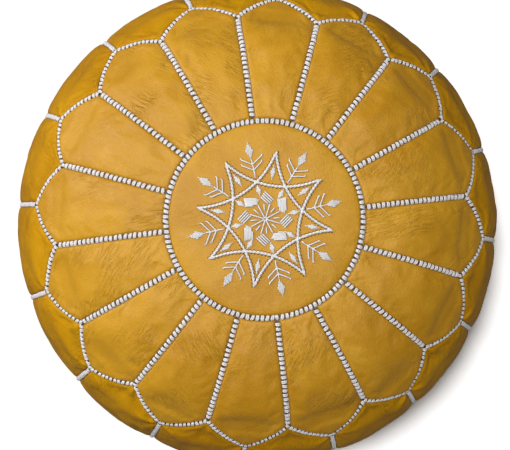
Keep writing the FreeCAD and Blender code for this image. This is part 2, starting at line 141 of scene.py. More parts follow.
ZIP_STITCH_PITCH, ZIP_STITCH_LENGTH = 4 * MM, 3.1 * MM

# ---- the embroidery
STAR_POINTS = 8
STAR_STEP = 360 / STAR_POINTS
STAR_TURN = -9.3  # direction of the first star tip
STAR_TIP_RADIUS = 69.7 * MM
STAR_BOW = 0.495  # how near the centre a star side comes, as a share of the tip radius
BIG_LOZENGE = (71.4 * MM, 18 * MM, 7.8 * MM)  # distance from the centre, length, width
TIP_LOZENGE = (48.4 * MM, 15 * MM, 4.6 * MM)
INNER_LOZENGE = (30 * MM, 12 * MM, 4.8 * MM)
BLOCK_TURN = 4.0
BLOCK_LEAN = 52
BLOCK_RADIUS = 22.2 * MM
KITE = np.array([(6.2, 2.2), (-1.3, 7.2), (-6.8, -1.6), (-1.6, -7.6)]) * MM  # outwards, sideways
TRAPEZIUM = np.array([(8.2, 3.5), (0.0, 7.5), (-6.1, -2.2), (-2.4, -8.6)]) * MM
RAY_TURN = -7.3
LONG_RAY, SHORT_RAY = (1.2 * MM, 15.8 * MM), (8.8 * MM, 14.8 * MM)
STEM_START, STEM_END = 43.5 * MM, 61.5 * MM
LEAF_ROOTS = (51 * MM, 57 * MM)
LEAF_OUT, LEAF_ACROSS = 7 * MM, 10.5 * MM
KNOT_LENGTH = 1.3 * MM
HOLE_RADIUS = 0.95 * MM

# ---- light and camera
UP = np.array([0.0, 0.0, 1.0])
ROOM_GLOW, FLOOR_GLOW, UNDER_GLOW = 0.046, 0.27, 0.14
LIGHT_AIM = Vector((0, 0, 0.2))
FLOOR_HALF = 6.0
CAMERA_DISTANCE = 1.45
CAMERA_TILT = 3.0
CAMERA_LEAN = Vector((-0.837, -0.547, 0))
CAMERA_AIM = Vector((-4.3 * MM, -2.0 * MM, 0.19))
CAMERA_LENS = 91.2


# ======== numbers
def smooth(x, low, high):
    """0 below low, 1 above high, eased between."""
    t = np.clip((x - low) / (high - low), 0, 1)
    return t * t * (3 - 2 * t)


def lattice(ix, iy, iz, seed):
    """A repeatable value from -1 to 1 for each whole-number place."""
    h = ix * 374761393 + iy * 668265263 + iz * 2147483647 + seed * 1274126177
    h = (h ^ (h >> 13)) * 1274126177
    h = (h ^ (h >> 16)) & 0xFFFFFF
    return h / 0x7FFFFF - 1.0


def noise(p, seed):
    """Smooth value noise of points given in cells, about -1 to 1."""
    cell = np.floor(p).astype(np.int64)
    f = p - cell
    f = f * f * f * (f * (f * 6 - 15) + 10)
    x, y, z = cell[..., 0], cell[..., 1], cell[..., 2]
    total = 0
    for corner in itertools.product((0, 1), repeat=3):
        wx, wy, wz = (f[..., i] if far else 1 - f[..., i] for i, far in enumerate(corner))
        dx, dy, dz = corner
        total = total + wx * wy * wz * lattice(x + dx, y + dy, z + dz, seed)
    return total


def layered(p, seed, octaves):
    """Several octaves of noise."""
    total = 0
    for k in range(octaves):
        total = total + noise(p * 2.03**k, seed + 31 * k) * 0.5**k
    return total


def unit(v):
    return v / np.maximum(np.linalg.norm(v, axis=-1, keepdims=True), 1e-12)


# ======== the body's outline
def outline_arcs():
    """(centre r, centre z, radius, start, end) of each arc, crown to foot, as in the CAD."""
    crown_end, shoulder_end, lower_end = np.radians([CROWN_END, SHOULDER_END, LOWER_SIDE_END])
    crown_z = TOP_HEIGHT - CROWN_RADIUS
    shoulder_r = (CROWN_RADIUS - SHOULDER_RADIUS) * math.cos(crown_end)
    shoulder_z = crown_z + (CROWN_RADIUS - SHOULDER_RADIUS) * math.sin(crown_end)
    reach = OUTER_RADIUS - shoulder_r - SHOULDER_RADIUS * math.cos(shoulder_end)
    side = reach / (1 - math.cos(shoulder_end))
    side_r = OUTER_RADIUS - side
    widest_z = shoulder_z + (SHOULDER_RADIUS - side) * math.sin(shoulder_end)
    drop = widest_z - FOOT_GAP
    lower = (drop - FOOT_RADIUS * (1 + math.sin(lower_end))) / -math.sin(lower_end)
    lower_r = OUTER_RADIUS - lower
    foot_r = lower_r + (lower - FOOT_RADIUS) * math.cos(lower_end)
    foot_z = widest_z + (lower - FOOT_RADIUS) * math.sin(lower_end)
    return [
        (0.0, crown_z, CROWN_RADIUS, 90.0, CROWN_END),
        (shoulder_r, shoulder_z, SHOULDER_RADIUS, CROWN_END, SHOULDER_END),
        (side_r, widest_z, side, SHOULDER_END, 0.0),
        (lower_r, widest_z, lower, 0.0, LOWER_SIDE_END),
        (foot_r, foot_z, FOOT_RADIUS, LOWER_SIDE_END, -90.0),
    ]


class Outline:
    """Places on the body by distance down its outline from the crown, and by angle round Z."""

    def __init__(self):
        lengths, turns, spots = [0.0], [], []
        for cr, cz, radius, start, end in outline_arcs():
            angles = np.radians(np.linspace(start, end, 400))
            spots.append(np.c_[cr + radius * np.cos(angles), cz + radius * np.sin(angles)])
            turns.append(angles)
            lengths.append(lengths[-1] + radius * math.radians(start - end))
        flat = spots[-1][-1, 0] - BASE_RADIUS
        spots.append(np.array([[BASE_RADIUS, FOOT_GAP]]))
        turns.append(np.radians([-90.0]))
        steps = [np.linspace(a, b, 400) for a, b in zip(lengths, lengths[1:])]
        self.length = lengths[-1] + flat
        self.s = np.concatenate(steps + [[self.length]])
        self.spot = np.concatenate(spots)
        self.turn = np.concatenate(turns)
        self.widest = lengths[3]

    def at(self, s, degrees, lift=0.0):
        """Points at distance s down the outline, lifted outwards."""
        r = np.interp(s, self.s, self.spot[:, 0])
        z = np.interp(s, self.s, self.spot[:, 1])
        turn = np.interp(s, self.s, self.turn)
        r = r + lift * np.cos(turn)
        z = z + lift * np.sin(turn)
        a = np.radians(degrees)
        return np.stack(np.broadcast_arrays(r * np.cos(a), r * np.sin(a), z), -1)

    def normal(self, s, degrees):
        turn = np.interp(s, self.s, self.turn)
        a = np.radians(degrees)
        parts = np.cos(turn) * np.cos(a), np.cos(turn) * np.sin(a), np.sin(turn)
        return np.stack(np.broadcast_arrays(*parts), -1)

    def down_to(self, radius):
        """Distance down the outline to a radius above the widest point."""
        upper = self.s <= self.widest
        return np.interp(radius, self.spot[upper, 0], self.s[upper])


BODY = Outline()
RING_S, CUSP_S, TIP_S = (BODY.down_to(r) for r in (MEDALLION_RADIUS, CUSP_RADIUS, TIP_RADIUS))


def scallop_table():
    """The scallop's radius against the angle from a cusp, sampled along its arc."""
    a = np.array([CUSP_RADIUS, 0.0])
    tip = math.radians(PITCH / 2)
    b = TIP_RADIUS * np.array([math.cos(tip), math.sin(tip)])
    along = (b - a) / np.linalg.norm(b - a)
    out = np.array([along[1], -along[0]])
    t = np.linspace(0, 1, 80)
    bow = SCALLOP_RISE * 4 * t * (1 - t)
    spots = a + np.outer(t, b - a) + np.outer(bow, out)
    return np.degrees(np.arctan2(spots[:, 1], spots[:, 0])), np.hypot(*spots.T)


SCALLOP_ANGLE, SCALLOP_RADIUS = scallop_table()


def scallop_s(degrees):
    """Distance down the outline to the scalloped seam."""
    a = np.mod(degrees - FIRST_SEAM, PITCH)
    a = np.minimum(a, PITCH - a)
    return BODY.down_to(np.interp(a, SCALLOP_ANGLE, SCALLOP_RADIUS))


def relief(s):
    """How strongly the cover is quilted: fully on the seat, less on the sides, hardly under the foot."""
    side = 1 - 0.4 * smooth(s, 265 * MM, 350 * MM)
    return side * smooth(BODY.length - s, 15 * MM, 90 * MM)


def seam_depth(s):
    return SEAM_DEPTH * relief(s)


def puffed(s, distance):
    """Height of the stuffed leather over the outline at a distance from the nearest seam."""
    rise = PUFF * relief(s) + 0.2 * MM
    return rise * (1 - np.exp(-distance / PUFF_REACH)) - seam_depth(s)


def seam_roll(s, distance):
    """The soft rib of leather that stands up beside a seam's stitches."""
    rise = smooth(distance, 2.1 * MM, 5.4 * MM) * np.exp(-distance / (16 * MM))
    return ROLL * relief(s) * rise


# ======== panels as grids of s, angle
def make_panel(node, seed, s, degrees, distance):
    """A leather panel as grids, its edges on the middles of its seams. distance is to the nearest one."""
    grid = BODY.at(s, degrees, puffed(s, distance))
    return SimpleNamespace(node=node, seed=seed, s=s, degrees=degrees, distance=distance, grid=grid)


def steady(s):
    """A seam at one distance down the outline, whatever the angle."""
    return lambda degrees: np.full_like(degrees, s)


def strip_panel(node, seed, first, along, top, bottom):
    """A panel one pitch wide. top and bottom are (distance down the outline by angle, slant) of its ends."""
    u, v = np.meshgrid(np.linspace(0, 1, CELLS_ACROSS + 1), np.linspace(0, 1, along + 1))
    degrees = first + u * PITCH
    start, end = top[0](degrees), bottom[0](degrees)
    s = start + v * (end - start)
    off = np.minimum(degrees - first, first + PITCH - degrees)
    sides = np.interp(s, BODY.s, BODY.spot[:, 0]) * np.sin(np.radians(np.maximum(off, 0)))
    distance = np.minimum.reduce([sides, (s - start) * top[1], (end - s) * bottom[1]])
    return make_panel(node, seed, s, degrees, distance)


def petal_panel(k):
    first = FIRST_SEAM + k * PITCH
    ends = (steady(RING_S), 1), (scallop_s, SCALLOP_SLANT)
    return strip_panel(f"petal_{k + 1:02d}", 100 + k, first, PETAL_CELLS, *ends)


def side_panel(k):
    first = FIRST_SEAM + (k - 0.5) * PITCH
    ends = (scallop_s, SCALLOP_SLANT), (steady(BODY.length), 1)
    return strip_panel(f"side_panel_{k + 1:02d}", 200 + k, first, SIDE_CELLS, *ends)


def medallion_panel():
    """A square grid bent to a disc, so that its cells are all of one size."""
    line = np.linspace(-1, 1, CELLS_ACROSS * PITCH_COUNT // 4 + 1)
    b, a = np.meshgrid(line, line)
    wide = np.abs(a) >= np.abs(b)
    big = np.where(wide, a, b)
    small = np.where(wide, b, a)
    turn = math.pi / 4 * small / np.where(big == 0, 1, big)
    angle = np.where(wide, turn, math.pi / 2 - turn)
    x, y = big * np.cos(angle), big * np.sin(angle)
    degrees = np.degrees(np.arctan2(y, x)) + FIRST_SEAM
    s = np.hypot(x, y) * RING_S
    return make_panel("medallion", 50, s, degrees, RING_S - s)


# ======== stuffing the cover
def weld(grids):
    """One mesh from grids that share edge points: its points, quads, and each grid's point numbers."""
    flat = np.concatenate([g.reshape(-1, 3) for g in grids])
    keys = np.round(flat / WELD_STEP).astype(np.int64)
    _, first, back = np.unique(keys, axis=0, return_index=True, return_inverse=True)
    back = back.reshape(-1)
    numbers, quads, start = [], [], 0
    for g in grids:
        rows, cols = g.shape[:2]
        n = back[start : start + rows * cols].reshape(rows, cols)
        start += rows * cols
        numbers.append(n)
        quads.append(grid_quads(n))
    return flat[first], np.concatenate(quads), numbers


def grid_quads(n):
    return np.stack([n[:-1, :-1], n[:-1, 1:], n[1:, 1:], n[1:, :-1]], -1).reshape(-1, 4)


def make_mesh(name, points, faces):
    mesh = bpy.data.meshes.new(name)
    mesh.from_pydata(np.asarray(points).tolist(), [], [list(map(int, f)) for f in faces])
    mesh.validate()
    mesh.shade_smooth()
    return mesh


def stuff(panels):
    """Blows the sewn cover up against its seams, which are held, and lets the leather buckle."""
    points, quads, numbers = weld([p.grid for p in panels])
    mesh = make_mesh("cover_cloth", points, quads)
    cover = add_object("cover_cloth", mesh)
    held = cover.vertex_groups.new(name="held")
    edges = [np.concatenate([n[0], n[-1], n[:, 0], n[:, -1]]) for n in numbers]
    held.add(np.unique(np.concatenate(edges)).tolist(), 1.0, "REPLACE")

    cloth = cover.modifiers.new("cloth", "CLOTH").settings
    cloth.quality = 5
    cloth.mass = 0.35
    cloth.tension_stiffness = 40
    cloth.compression_stiffness = 40
    cloth.shear_stiffness = 20
    cloth.bending_stiffness = 3.0
    cloth.use_pressure = True
    cloth.uniform_pressure_force = 5
    cloth.shrink_min = -0.02
    cloth.vertex_group_mass = "held"
    cloth.effector_weights.gravity = 0
    scene = bpy.context.scene
    scene.frame_start = 1
    scene.frame_end = CLOTH_FRAMES
    for number in range(1, CLOTH_FRAMES + 1):
        scene.frame_set(number)
    done = cover.evaluated_get(bpy.context.evaluated_depsgraph_get())
    after = np.empty(len(points) * 3, np.float32)
    done.data.vertices.foreach_get("co", after)
    after = after.reshape(-1, 3).astype(float)
    scene.frame_set(1)
    move = (after - points) * SLACK_SHARE
    far = np.linalg.norm(move, axis=1)
    move *= (np.minimum(far, SLACK_MOST) / np.maximum(far, 1e-9))[:, None]
    for panel, n in zip(panels, numbers):
        calm = smooth(panel.distance, 1 * MM, 14 * MM) * (0.35 + 0.65 * relief(panel.s))
        if panel.node == "medallion":
            calm = calm * (0.2 + 0.6 * smooth(panel.s, 0.6 * RING_S, RING_S))
        panel.grid = points[n] + move[n] * calm[..., None]
    bpy.data.objects.remove(cover)
    bpy.data.meshes.remove(mesh)


# ======== from a coarse grid to fine leather
def spline(f):
    """Catmull-Rom weights of the four points round a place."""
    f2, f3 = f * f, f * f * f
    return [
        (-f3 + 2 * f2 - f) / 2,
        (3 * f3 - 5 * f2 + 2) / 2,
        (-3 * f3 + 4 * f2 + f) / 2,
        (f3 - f2) / 2,
    ]


def sampled(grid, u, v):
    """The grid's values at shares u across and v along, smoothly between its points."""
    if grid.ndim == 2:
        return sampled(grid[..., None], u, v)[..., 0]
    rows, cols = grid.shape[:2]
    wide = np.concatenate([2 * grid[:1] - grid[1:2], grid, 2 * grid[-1:] - grid[-2:-1]])
    left, right = 2 * wide[:, :1] - wide[:, 1:2], 2 * wide[:, -1:] - wide[:, -2:-1]
    wide = np.concatenate([left, wide, right], 1)
    x, y = u * (cols - 1), v * (rows - 1)
    i = np.clip(np.floor(x).astype(int), 0, cols - 2)
    j = np.clip(np.floor(y).astype(int), 0, rows - 2)
    wx, wy = spline(x - i), spline(y - j)
    total = 0
    for b in range(4):
        row = sum(wide[j + b, i + a] * wx[a][..., None] for a in range(4))
        total = total + row * wy[b][..., None]
    return total


def grid_normals(grid):
    across = np.gradient(grid, axis=1)
    along = np.gradient(grid, axis=0)
    return unit(np.cross(along, across))


def graded(count):
    """Shares from 0 to 1, closer together near the ends."""
    t = np.linspace(0, 1, count)
    return t - 0.45 * np.sin(2 * math.pi * t) / (2 * math.pi)


def creases(panel, place, distance):
    """Height of the folds and puckers in a panel's leather, and the values its material draws them with."""
    rng = np.random.default_rng(panel.seed)
    lean = rng.uniform(-1.1, 1.1)
    strength = rng.uniform(0.25, 1.0) * (0.3 if panel.node == "medallion" else 1.0)
    centre = place.reshape(-1, 3).mean(0)
    out = unit(centre * [1, 1, 0]) if np.hypot(*centre[:2]) > 20 * MM else np.array([1.0, 0, 0])
    facing = unit(centre - [0, 0, 0.1])
    down = unit(out - facing * (out @ facing))
    side = np.cross(facing, down)
    along = down * math.cos(lean) + side * math.sin(lean)
    across = np.cross(facing, along)
    a, b = place @ along, place @ across
    warp = layered(place / (30 * MM), panel.seed + 5, 2) * 7 * MM
    patch = smooth(layered(place / (50 * MM), panel.seed + 9, 2), -0.15, 0.55)
    fold = 0
    for width, length, depth in ((10 * MM, 80 * MM, 0.55), (6 * MM, 45 * MM, 0.4)):
        cells = np.stack([a / length, (b + warp) / width, np.full_like(a, panel.seed)], -1)
        fold = fold + depth * np.exp(-((noise(cells, panel.seed + 11) / 0.16) ** 2))
    fold = fold * patch * strength
    drawn = noise(place / (11 * MM), panel.seed + 77)
    pucker = drawn * np.exp(-distance / (7 * MM)) * smooth(distance, 0, 3 * MM)
    swell = layered(place / (55 * MM), panel.seed + 3, 3)
    height = -1.0 * MM * fold + 0.8 * MM * pucker + 1.0 * MM * swell
    fine = 0.15 + 0.85 * smooth(layered(place / (32 * MM), panel.seed + 21, 2), -0.05, 0.6)
    values = {
        "seam": distance / MM,
        # fold and creased also set how much painted shade the material puts in the folds and creases.
        "fold": np.clip(fold, 0, 1),
        "lie_along": a / MM,
        "lie_across": (b + 0.5 * warp) / MM,
        "creased": fine * strength,
    }
    return height, values


def corner_folds(panel, s, degrees):
    """Deeper dents that run out from the corners of the scallops down the side panels."""
    rng = np.random.default_rng(panel.seed + 900)
    total = 0
    r = np.interp(s, BODY.s, BODY.spot[:, 0])
    start = scallop_s(degrees)
    first = degrees.min()
    for share in (0.0, 0.5, 1.0):
        corner = first + share * PITCH
        x = r * np.radians(degrees - corner)
        y = s - (CUSP_S if share == 0.5 else TIP_S)
        reach = np.hypot(x, y)
        turn = np.arctan2(x, np.maximum(y, 1e-6))
        ripple = 0
        for count in (5, 8):
            ripple = ripple + np.cos(count * turn + rng.uniform(0, 2 * math.pi))
        fade = np.exp(-reach / (22 * MM)) * smooth(reach, 2 * MM, 9 * MM)
        total = total + ripple * fade * rng.uniform(0.5, 1.1)
    return total * 1.5 * MM * smooth(s - start, 1 * MM, 6 * MM)


def finish_panel(panel, across, along):
    """Fine points, normals, seam distance and crease depth of a panel."""
    width = np.linalg.norm(np.diff(panel.grid, axis=1), axis=-1).sum(1)
    length = np.linalg.norm(np.diff(panel.grid, axis=0), axis=-1).sum(0)
    v0 = np.linspace(0, 1, len(width))
    u0 = np.linspace(0, 1, len(length))
    v_line, u_line = graded(along), graded(across)
    u_margin = EDGE_BACK / np.interp(v_line, v0, width)[:, None]
    v_margin = EDGE_BACK / np.interp(u_line, u0, length)[None, :]
    u = u_margin + u_line[None, :] * (1 - 2 * u_margin)
    v = v_margin + v_line[:, None] * (1 - 2 * v_margin)
    place = sampled(panel.grid, u, v)
    s = sampled(panel.s, u, v)
    distance = np.maximum(sampled(panel.distance, u, v), 0)
    height, values = creases(panel, place, distance)
    if panel.node.startswith("side"):
        height = height + corner_folds(panel, s, sampled(panel.degrees, u, v))
        height = height * smooth(BODY.length - s, 0, 70 * MM)
    height = height * smooth(distance, 0.3 * MM, 5 * MM) + seam_roll(s, distance)
    return place + grid_normals(place) * height[..., None], values


def border(n):
    """The numbers round a grid's edge, in order."""
    return np.concatenate([n[0, :-1], n[:-1, -1], n[-1, :0:-1], n[:0:-1, 0]])


def leather_shell(name, place, values, tone):
    """A closed piece of leather: fine outer face, rolled edge, plainer inner face."""
    rows, cols = place.shape[:2]
    normals = grid_normals(place)
    outer = np.arange(rows * cols).reshape(rows, cols)
    flow = np.zeros_like(place)
    flow[0] -= unit(place[1] - place[0])
    flow[-1] += unit(place[-1] - place[-2])
    flow[:, 0] -= unit(place[:, 1] - place[:, 0])
    flow[:, -1] += unit(place[:, -1] - place[:, -2])
    last = rim = border(outer)
    rim_place, rim_normal, rim_out = (g.reshape(-1, 3)[rim] for g in (place, normals, flow))
    rim_out = unit(rim_out)

    points = [place.reshape(-1, 3)]
    faces = [grid_quads(outer)]
    start = rows * cols
    for t in np.radians([50, 10, -40]):
        drop = EDGE_ROLL * (math.sin(t) - 1)
        points.append(rim_place + rim_out * (EDGE_PROUD * math.cos(t)) + rim_normal * drop)
        here = start + np.arange(len(rim))
        start += len(rim)
        faces.append(np.stack([last, here, np.roll(here, -1), np.roll(last, -1)], -1))
        last = here

    pick = np.ix_(*(np.unique(np.r_[0:size:COARSE_STEP, size - 1]) for size in (rows, cols)))
    inner_place = place[pick] - normals[pick] * LEATHER
    inner = start + np.arange(inner_place[..., 0].size).reshape(inner_place.shape[:2])
    points.append(inner_place.reshape(-1, 3))
    faces.append(grid_quads(inner)[:, ::-1])
    inner_rim = border(inner)
    fine_at = {int(n): i for i, n in enumerate(rim)}
    anchors = [fine_at[int(n)] for n in border(outer[pick])]
    triangles = []
    for a, b, c0, c1 in zip(anchors, np.roll(anchors, -1), inner_rim, np.roll(inner_rim, -1)):
        stop = b if b > a else b + len(rim)
        half = (a + stop) // 2
        for j in range(a, stop):
            f0, f1 = last[j % len(rim)], last[(j + 1) % len(rim)]
            if j == half:
                triangles.append((c0, c1, f0))
            triangles.append((f0, c0 if j < half else c1, f1))
    everything = [f for group in faces for f in group.tolist()] + triangles
    points = np.concatenate(points)
    mesh = make_mesh(name, points, everything)
    count = len(points) - rows * cols
    for key, grid in values.items():
        add_values(mesh, key, np.r_[grid.ravel(), np.zeros(count)])
    add_values(mesh, "tone", np.full(len(points), tone))
    return mesh


def add_values(mesh, name, values):
    layer = mesh.attributes.new(name, "FLOAT", "POINT")
    layer.data.foreach_set("value", np.asarray(values, np.float32))


def add_object(name, data):
    thing = bpy.data.objects.new(name, data)
    bpy.context.collection.objects.link(thing)
    return thing


def add_piece(name, mesh, material, node=None):
    """A finished piece that rides on the pouf and stands for a CAD node."""
    piece = add_object(name, mesh)
    mesh.materials.append(material)
    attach(piece, "pouf")
    if node:
        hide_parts(node)


# ======== thread
def strands_mesh(name, lines, normals, radius, sides):
    """Threads as tubes: lines is threads by points by 3, radius is one number or one per point."""
    count, steps = lines.shape[:2]
    tangent = unit(np.gradient(lines, axis=1))
    up = unit(normals - (normals * tangent).sum(-1, keepdims=True) * tangent)
    side = np.cross(tangent, up)
    phi = np.arange(sides) / sides * 2 * math.pi + math.pi
    radius = np.broadcast_to(radius, (count, steps))
    ring = np.cos(phi)[:, None] * up[:, :, None] + np.sin(phi)[:, None] * side[:, :, None]
    points = lines[:, :, None] + ring * radius[:, :, None, None]
    n = np.arange(count * steps * sides).reshape(count, steps, sides)
    a, b = n[:, :-1], n[:, 1:]
    quads = np.stack([a, np.roll(a, -1, 2), np.roll(b, -1, 2), b], -1).reshape(-1, 4)
    caps = n[:, 0, ::-1].tolist() + n[:, -1].tolist()
    mesh = make_mesh(name, points.reshape(-1, 3), quads.tolist() + caps)
    run = np.linalg.norm(np.diff(lines, axis=1, prepend=lines[:, :1]), axis=-1).cumsum(1) / MM
    add_values(mesh, "along", np.repeat(run.ravel(), sides))
    around = np.broadcast_to(np.arange(sides) / sides, (count, steps, sides))
    add_values(mesh, "around", around.ravel())
    number = np.random.default_rng(len(name)).random(count)
    add_values(mesh, "tone", np.repeat(number, steps * sides))
    return mesh


class Surface:
    """Finds the leather under a point."""

    def __init__(self, meshes):
        points, faces = [], []
        for mesh in meshes:
            faces += [[v + len(points) for v in p.vertices] for p in mesh.polygons]
            points += [v.co[:] for v in mesh.vertices]
        self.tree = BVHTree.FromPolygons(points, faces)

    def under(self, point, normal):
        """Where a line drawn inwards through the point meets the leather, or the point itself."""
        reach = 8 * MM
        start = Vector(point + normal * reach)
        hit = self.tree.ray_cast(start, Vector(-normal), 2 * reach)[0]
        return np.array(hit) if hit is not None else point

    def drop(self, flat, up):
        """The outer leather at a flat place, seen from above or from below."""
        start = Vector((*flat, BODY_MIDDLE)) + Vector(up) * 0.3
        return np.array(self.tree.ray_cast(start, Vector(-up))[0])


def overcast(surface, centres, normals, tangents, half_width, radius, seed, lean=0.0):
    """Pairs of threads laid over a seam, from a hole on one side to a hole on the other."""
    rng = np.random.default_rng(seed)
    sideways = unit(np.cross(normals, tangents))
    p = STITCH_PATH[:, None]
    lines, ups = [], []
    for c, n, t, b in zip(centres, normals, tangents, sideways):
        width = half_width * rng.uniform(0.93, 1.06)
        shift = rng.normal(0, 0.12 * MM)
        slant = lean + rng.normal(0, 0.3 * MM)
        left = surface.under(c - b * (width - shift), n)
        right = surface.under(c + b * (width + shift), n)
        mid = (left + right) / 2 + n * 0.35 * MM
        curve = (left * (p - 1) + right * (p + 1)) * p / 2 + mid * (1 - p * p)
        for way in (-1, 1):
            spread = radius * (0.93 - 0.35 * p * p) * way
            cross = spread * rng.uniform(0.9, 1.1) + slant * p
            lift = STITCH_LIFT[:, None] * radius + rng.normal(0, 0.06 * MM)
            lines.append(curve + n * lift + t * cross)
            ups.append(np.broadcast_to(n, curve.shape))
    return np.array(lines), np.array(ups)


def seam_steps(seam, pitch, start, end, seed):
    """Evenly spaced places along a seam with a little of the hand in them."""
    point_at, length = seam
    rng = np.random.default_rng(seed)
    count = max(2, int(round((length - start - end) / pitch)))
    t = start + (np.arange(count) + 0.5) * (length - start - end) / count
    t = t + rng.normal(0, 0.04, count) * pitch
    step = 0.5 * MM
    centre, normal = point_at(t)
    ahead, behind = point_at(t + step)[0], point_at(t - step)[0]
    return centre, normal, unit(ahead - behind)


def down_seam(degrees, start, end):
    """A seam straight down the body: its places and normals by distance along it, and its length."""

    def point_at(t):
        s = start + t
        return BODY.at(s, degrees, -seam_depth(s)), BODY.normal(s, degrees)

    return point_at, end - start


def round_seam(s_at):
    """A closed seam round the body, given the same way."""
    degrees = np.linspace(0, 360, 4000)
    path = BODY.at(s_at(degrees), degrees)
    run = np.r_[0, np.linalg.norm(np.diff(path, axis=0), axis=1).cumsum()]

    def point_at(t):
        a = np.interp(np.mod(t, run[-1]), run, degrees)
        s = s_at(a)
        return BODY.at(s, a, -seam_depth(s)), BODY.normal(s, a)

    return point_at, run[-1]


def add_threads(name, parts, radius, sides, material, node):
    """One piece from several runs of threads, each given as lines and normals."""
    lines, normals = (np.concatenate(p) for p in zip(*parts))
    add_piece(name, strands_mesh(name, lines, normals, radius, sides), material, node)


def sew_kind(surface, thread, name, node, seams, how):
    """The overcast threads of all the seams of one kind."""
    parts = []
    for k, seam in enumerate(seams):
        places = seam_steps(seam, how.pitch * MM, how.start * MM, how.end * MM, how.step_seed + k)
        sizes = how.half_width * MM, how.radius * MM
        parts.append(overcast(surface, *places, *sizes, how.thread_seed + k, how.lean * MM))
    add_threads(name, parts, how.radius * MM, how.sides, thread, node)


def sew(surface, thread):
    """All the cover's seams."""
    angles = FIRST_SEAM + np.arange(PITCH_COUNT) * PITCH
    ring, scallop = round_seam(steady(RING_S)), round_seam(scallop_s)
    petals = [down_seam(a, RING_S, CUSP_S) for a in angles]
    sides = [down_seam(a + PITCH / 2, TIP_S, BODY.length) for a in angles]
    sew_kind(surface, thread, "ring_stitches", "medallion_ring_thread", [ring], RING_SEWING)
    sew_kind(surface, thread, "scallop_stitches", "scallop_thread", [scallop], SCALLOP_SEWING)
    sew_kind(surface, thread, "petal_stitches", "petal_seam_threads", petals, PETAL_SEWING)
    sew_kind(surface, thread, "side_stitches", "side_seam_threads", sides, SIDE_SEWING)


# ======== embroidery
def flat_polar(radius, degrees):
    a = np.radians(degrees)
    return np.stack(np.broadcast_arrays(radius * np.cos(a), radius * np.sin(a)), -1)


def turned(points, degrees):
    c, s = math.cos(math.radians(degrees)), math.sin(math.radians(degrees))
    return points @ np.array([(c, s), (-s, c)])


def satin(corners, lean, spacing, rng):
    """The two ends of each of the parallel threads that fill a shape with outward corners."""
    along = flat_polar(1.0, lean)
    across = np.array([-along[1], along[0]])
    heights = corners @ across
    low, high = heights.min(), heights.max()
    count = max(3, round((high - low) / spacing))
    starts, ends = [], []
    for row in low + (np.arange(count) + 0.5) * (high - low) / count:
        hits = []
        for p, q in zip(corners, np.roll(corners, -1, axis=0)):
            above, below = p @ across - row, q @ across - row
            if above * below <= 0 and above != below:
                hits.append((p + above / (above - below) * (q - p)) @ along)
        slack = rng.normal(0, 0.15 * MM, 2)
        starts.append(along * (min(hits) + slack[0]) + across * row)
        ends.append(along * (max(hits) + slack[1]) + across * row)
    return np.array(starts), np.array(ends)


def stem_stitch(path, length, advance, width, rng):
    """Slanted threads that overlap along a path, each from its left edge to its right."""
    run = np.r_[0, np.linalg.norm(np.diff(path, axis=0), axis=1).cumsum()]
    count = max(1, round((run[-1] - length) / advance) + 1)
    begin = np.linspace(0, run[-1] - length, count)
    begin = begin + rng.normal(0, 0.12 * MM, count) * (begin > 0)

    def at(t):
        return np.stack([np.interp(t, run, path[:, 0]), np.interp(t, run, path[:, 1])], -1)

    a, b = at(begin), at(begin + length)
    left = left_of(a, b) * width / 2
    return a + left, b - left


def left_of(a, b):
    ahead = unit(b - a)
    return np.stack([-ahead[:, 1], ahead[:, 0]], -1)


def lay_threads(surface, starts, ends, radius, rng, up=UP):
    """Threads pulled tight between pairs of needle holes in the leather."""
    lines = []
    p = STITCH_PATH[:, None] / STITCH_PATH[-1]
    for a, b in zip(starts, ends):
        first, middle, last = (surface.drop(q, up) for q in (a, (a + b) / 2, b))
        reach = np.linalg.norm(last - first) / 2
        bend = np.clip(1.6 * MM / max(reach, 1e-6), 0.1, 0.5)
        q = np.sign(p) * (1 - (1 - np.abs(p)) * bend / 0.5 * 0.8)
        q = np.where(np.abs(p) < 0.2, p, q)
        curve = (first * (q - 1) + last * (q + 1)) * q / 2 + middle * (1 - q * q)
        height = STITCH_LIFT[:, None] * radius * rng.uniform(0.9, 1.15)
        lines.append(curve + up * height)
    lines = np.array(lines)
    return lines, np.broadcast_to(up, lines.shape)


def add_embroidery(surface, thread, name, node, pairs, radius, seed):
    """One piece from threads given as pairs of (starts, ends), which it gives back joined."""
    starts, ends = (np.concatenate(p) for p in zip(*pairs))
    lines = lay_threads(surface, starts, ends, radius, np.random.default_rng(seed))
    add_threads(name, [lines], radius, 7, thread, node)
    return starts, ends


def star_side(tip):
    """One bowed side of the star, from a tip to the next tip but one."""
    half = math.radians(STAR_STEP)
    near = STAR_BOW * STAR_TIP_RADIUS
    centre = (STAR_TIP_RADIUS**2 - near**2) / (2 * (STAR_TIP_RADIUS * math.cos(half) - near))
    end = STAR_TIP_RADIUS * np.array([math.cos(half), math.sin(half)])
    sweep = math.atan2(end[1], centre - end[0])
    t = np.linspace(-sweep, sweep, 60)
    bow = np.stack([centre - (centre - near) * np.cos(t), (centre - near) * np.sin(t)], -1)
    return turned(bow, tip + STAR_STEP)


def lozenge(angle, radius, length, width):
    corners = [(length / 2, 0), (0, width / 2), (-length / 2, 0), (0, -width / 2)]
    return turned(np.array(corners), angle) + flat_polar(radius, angle)


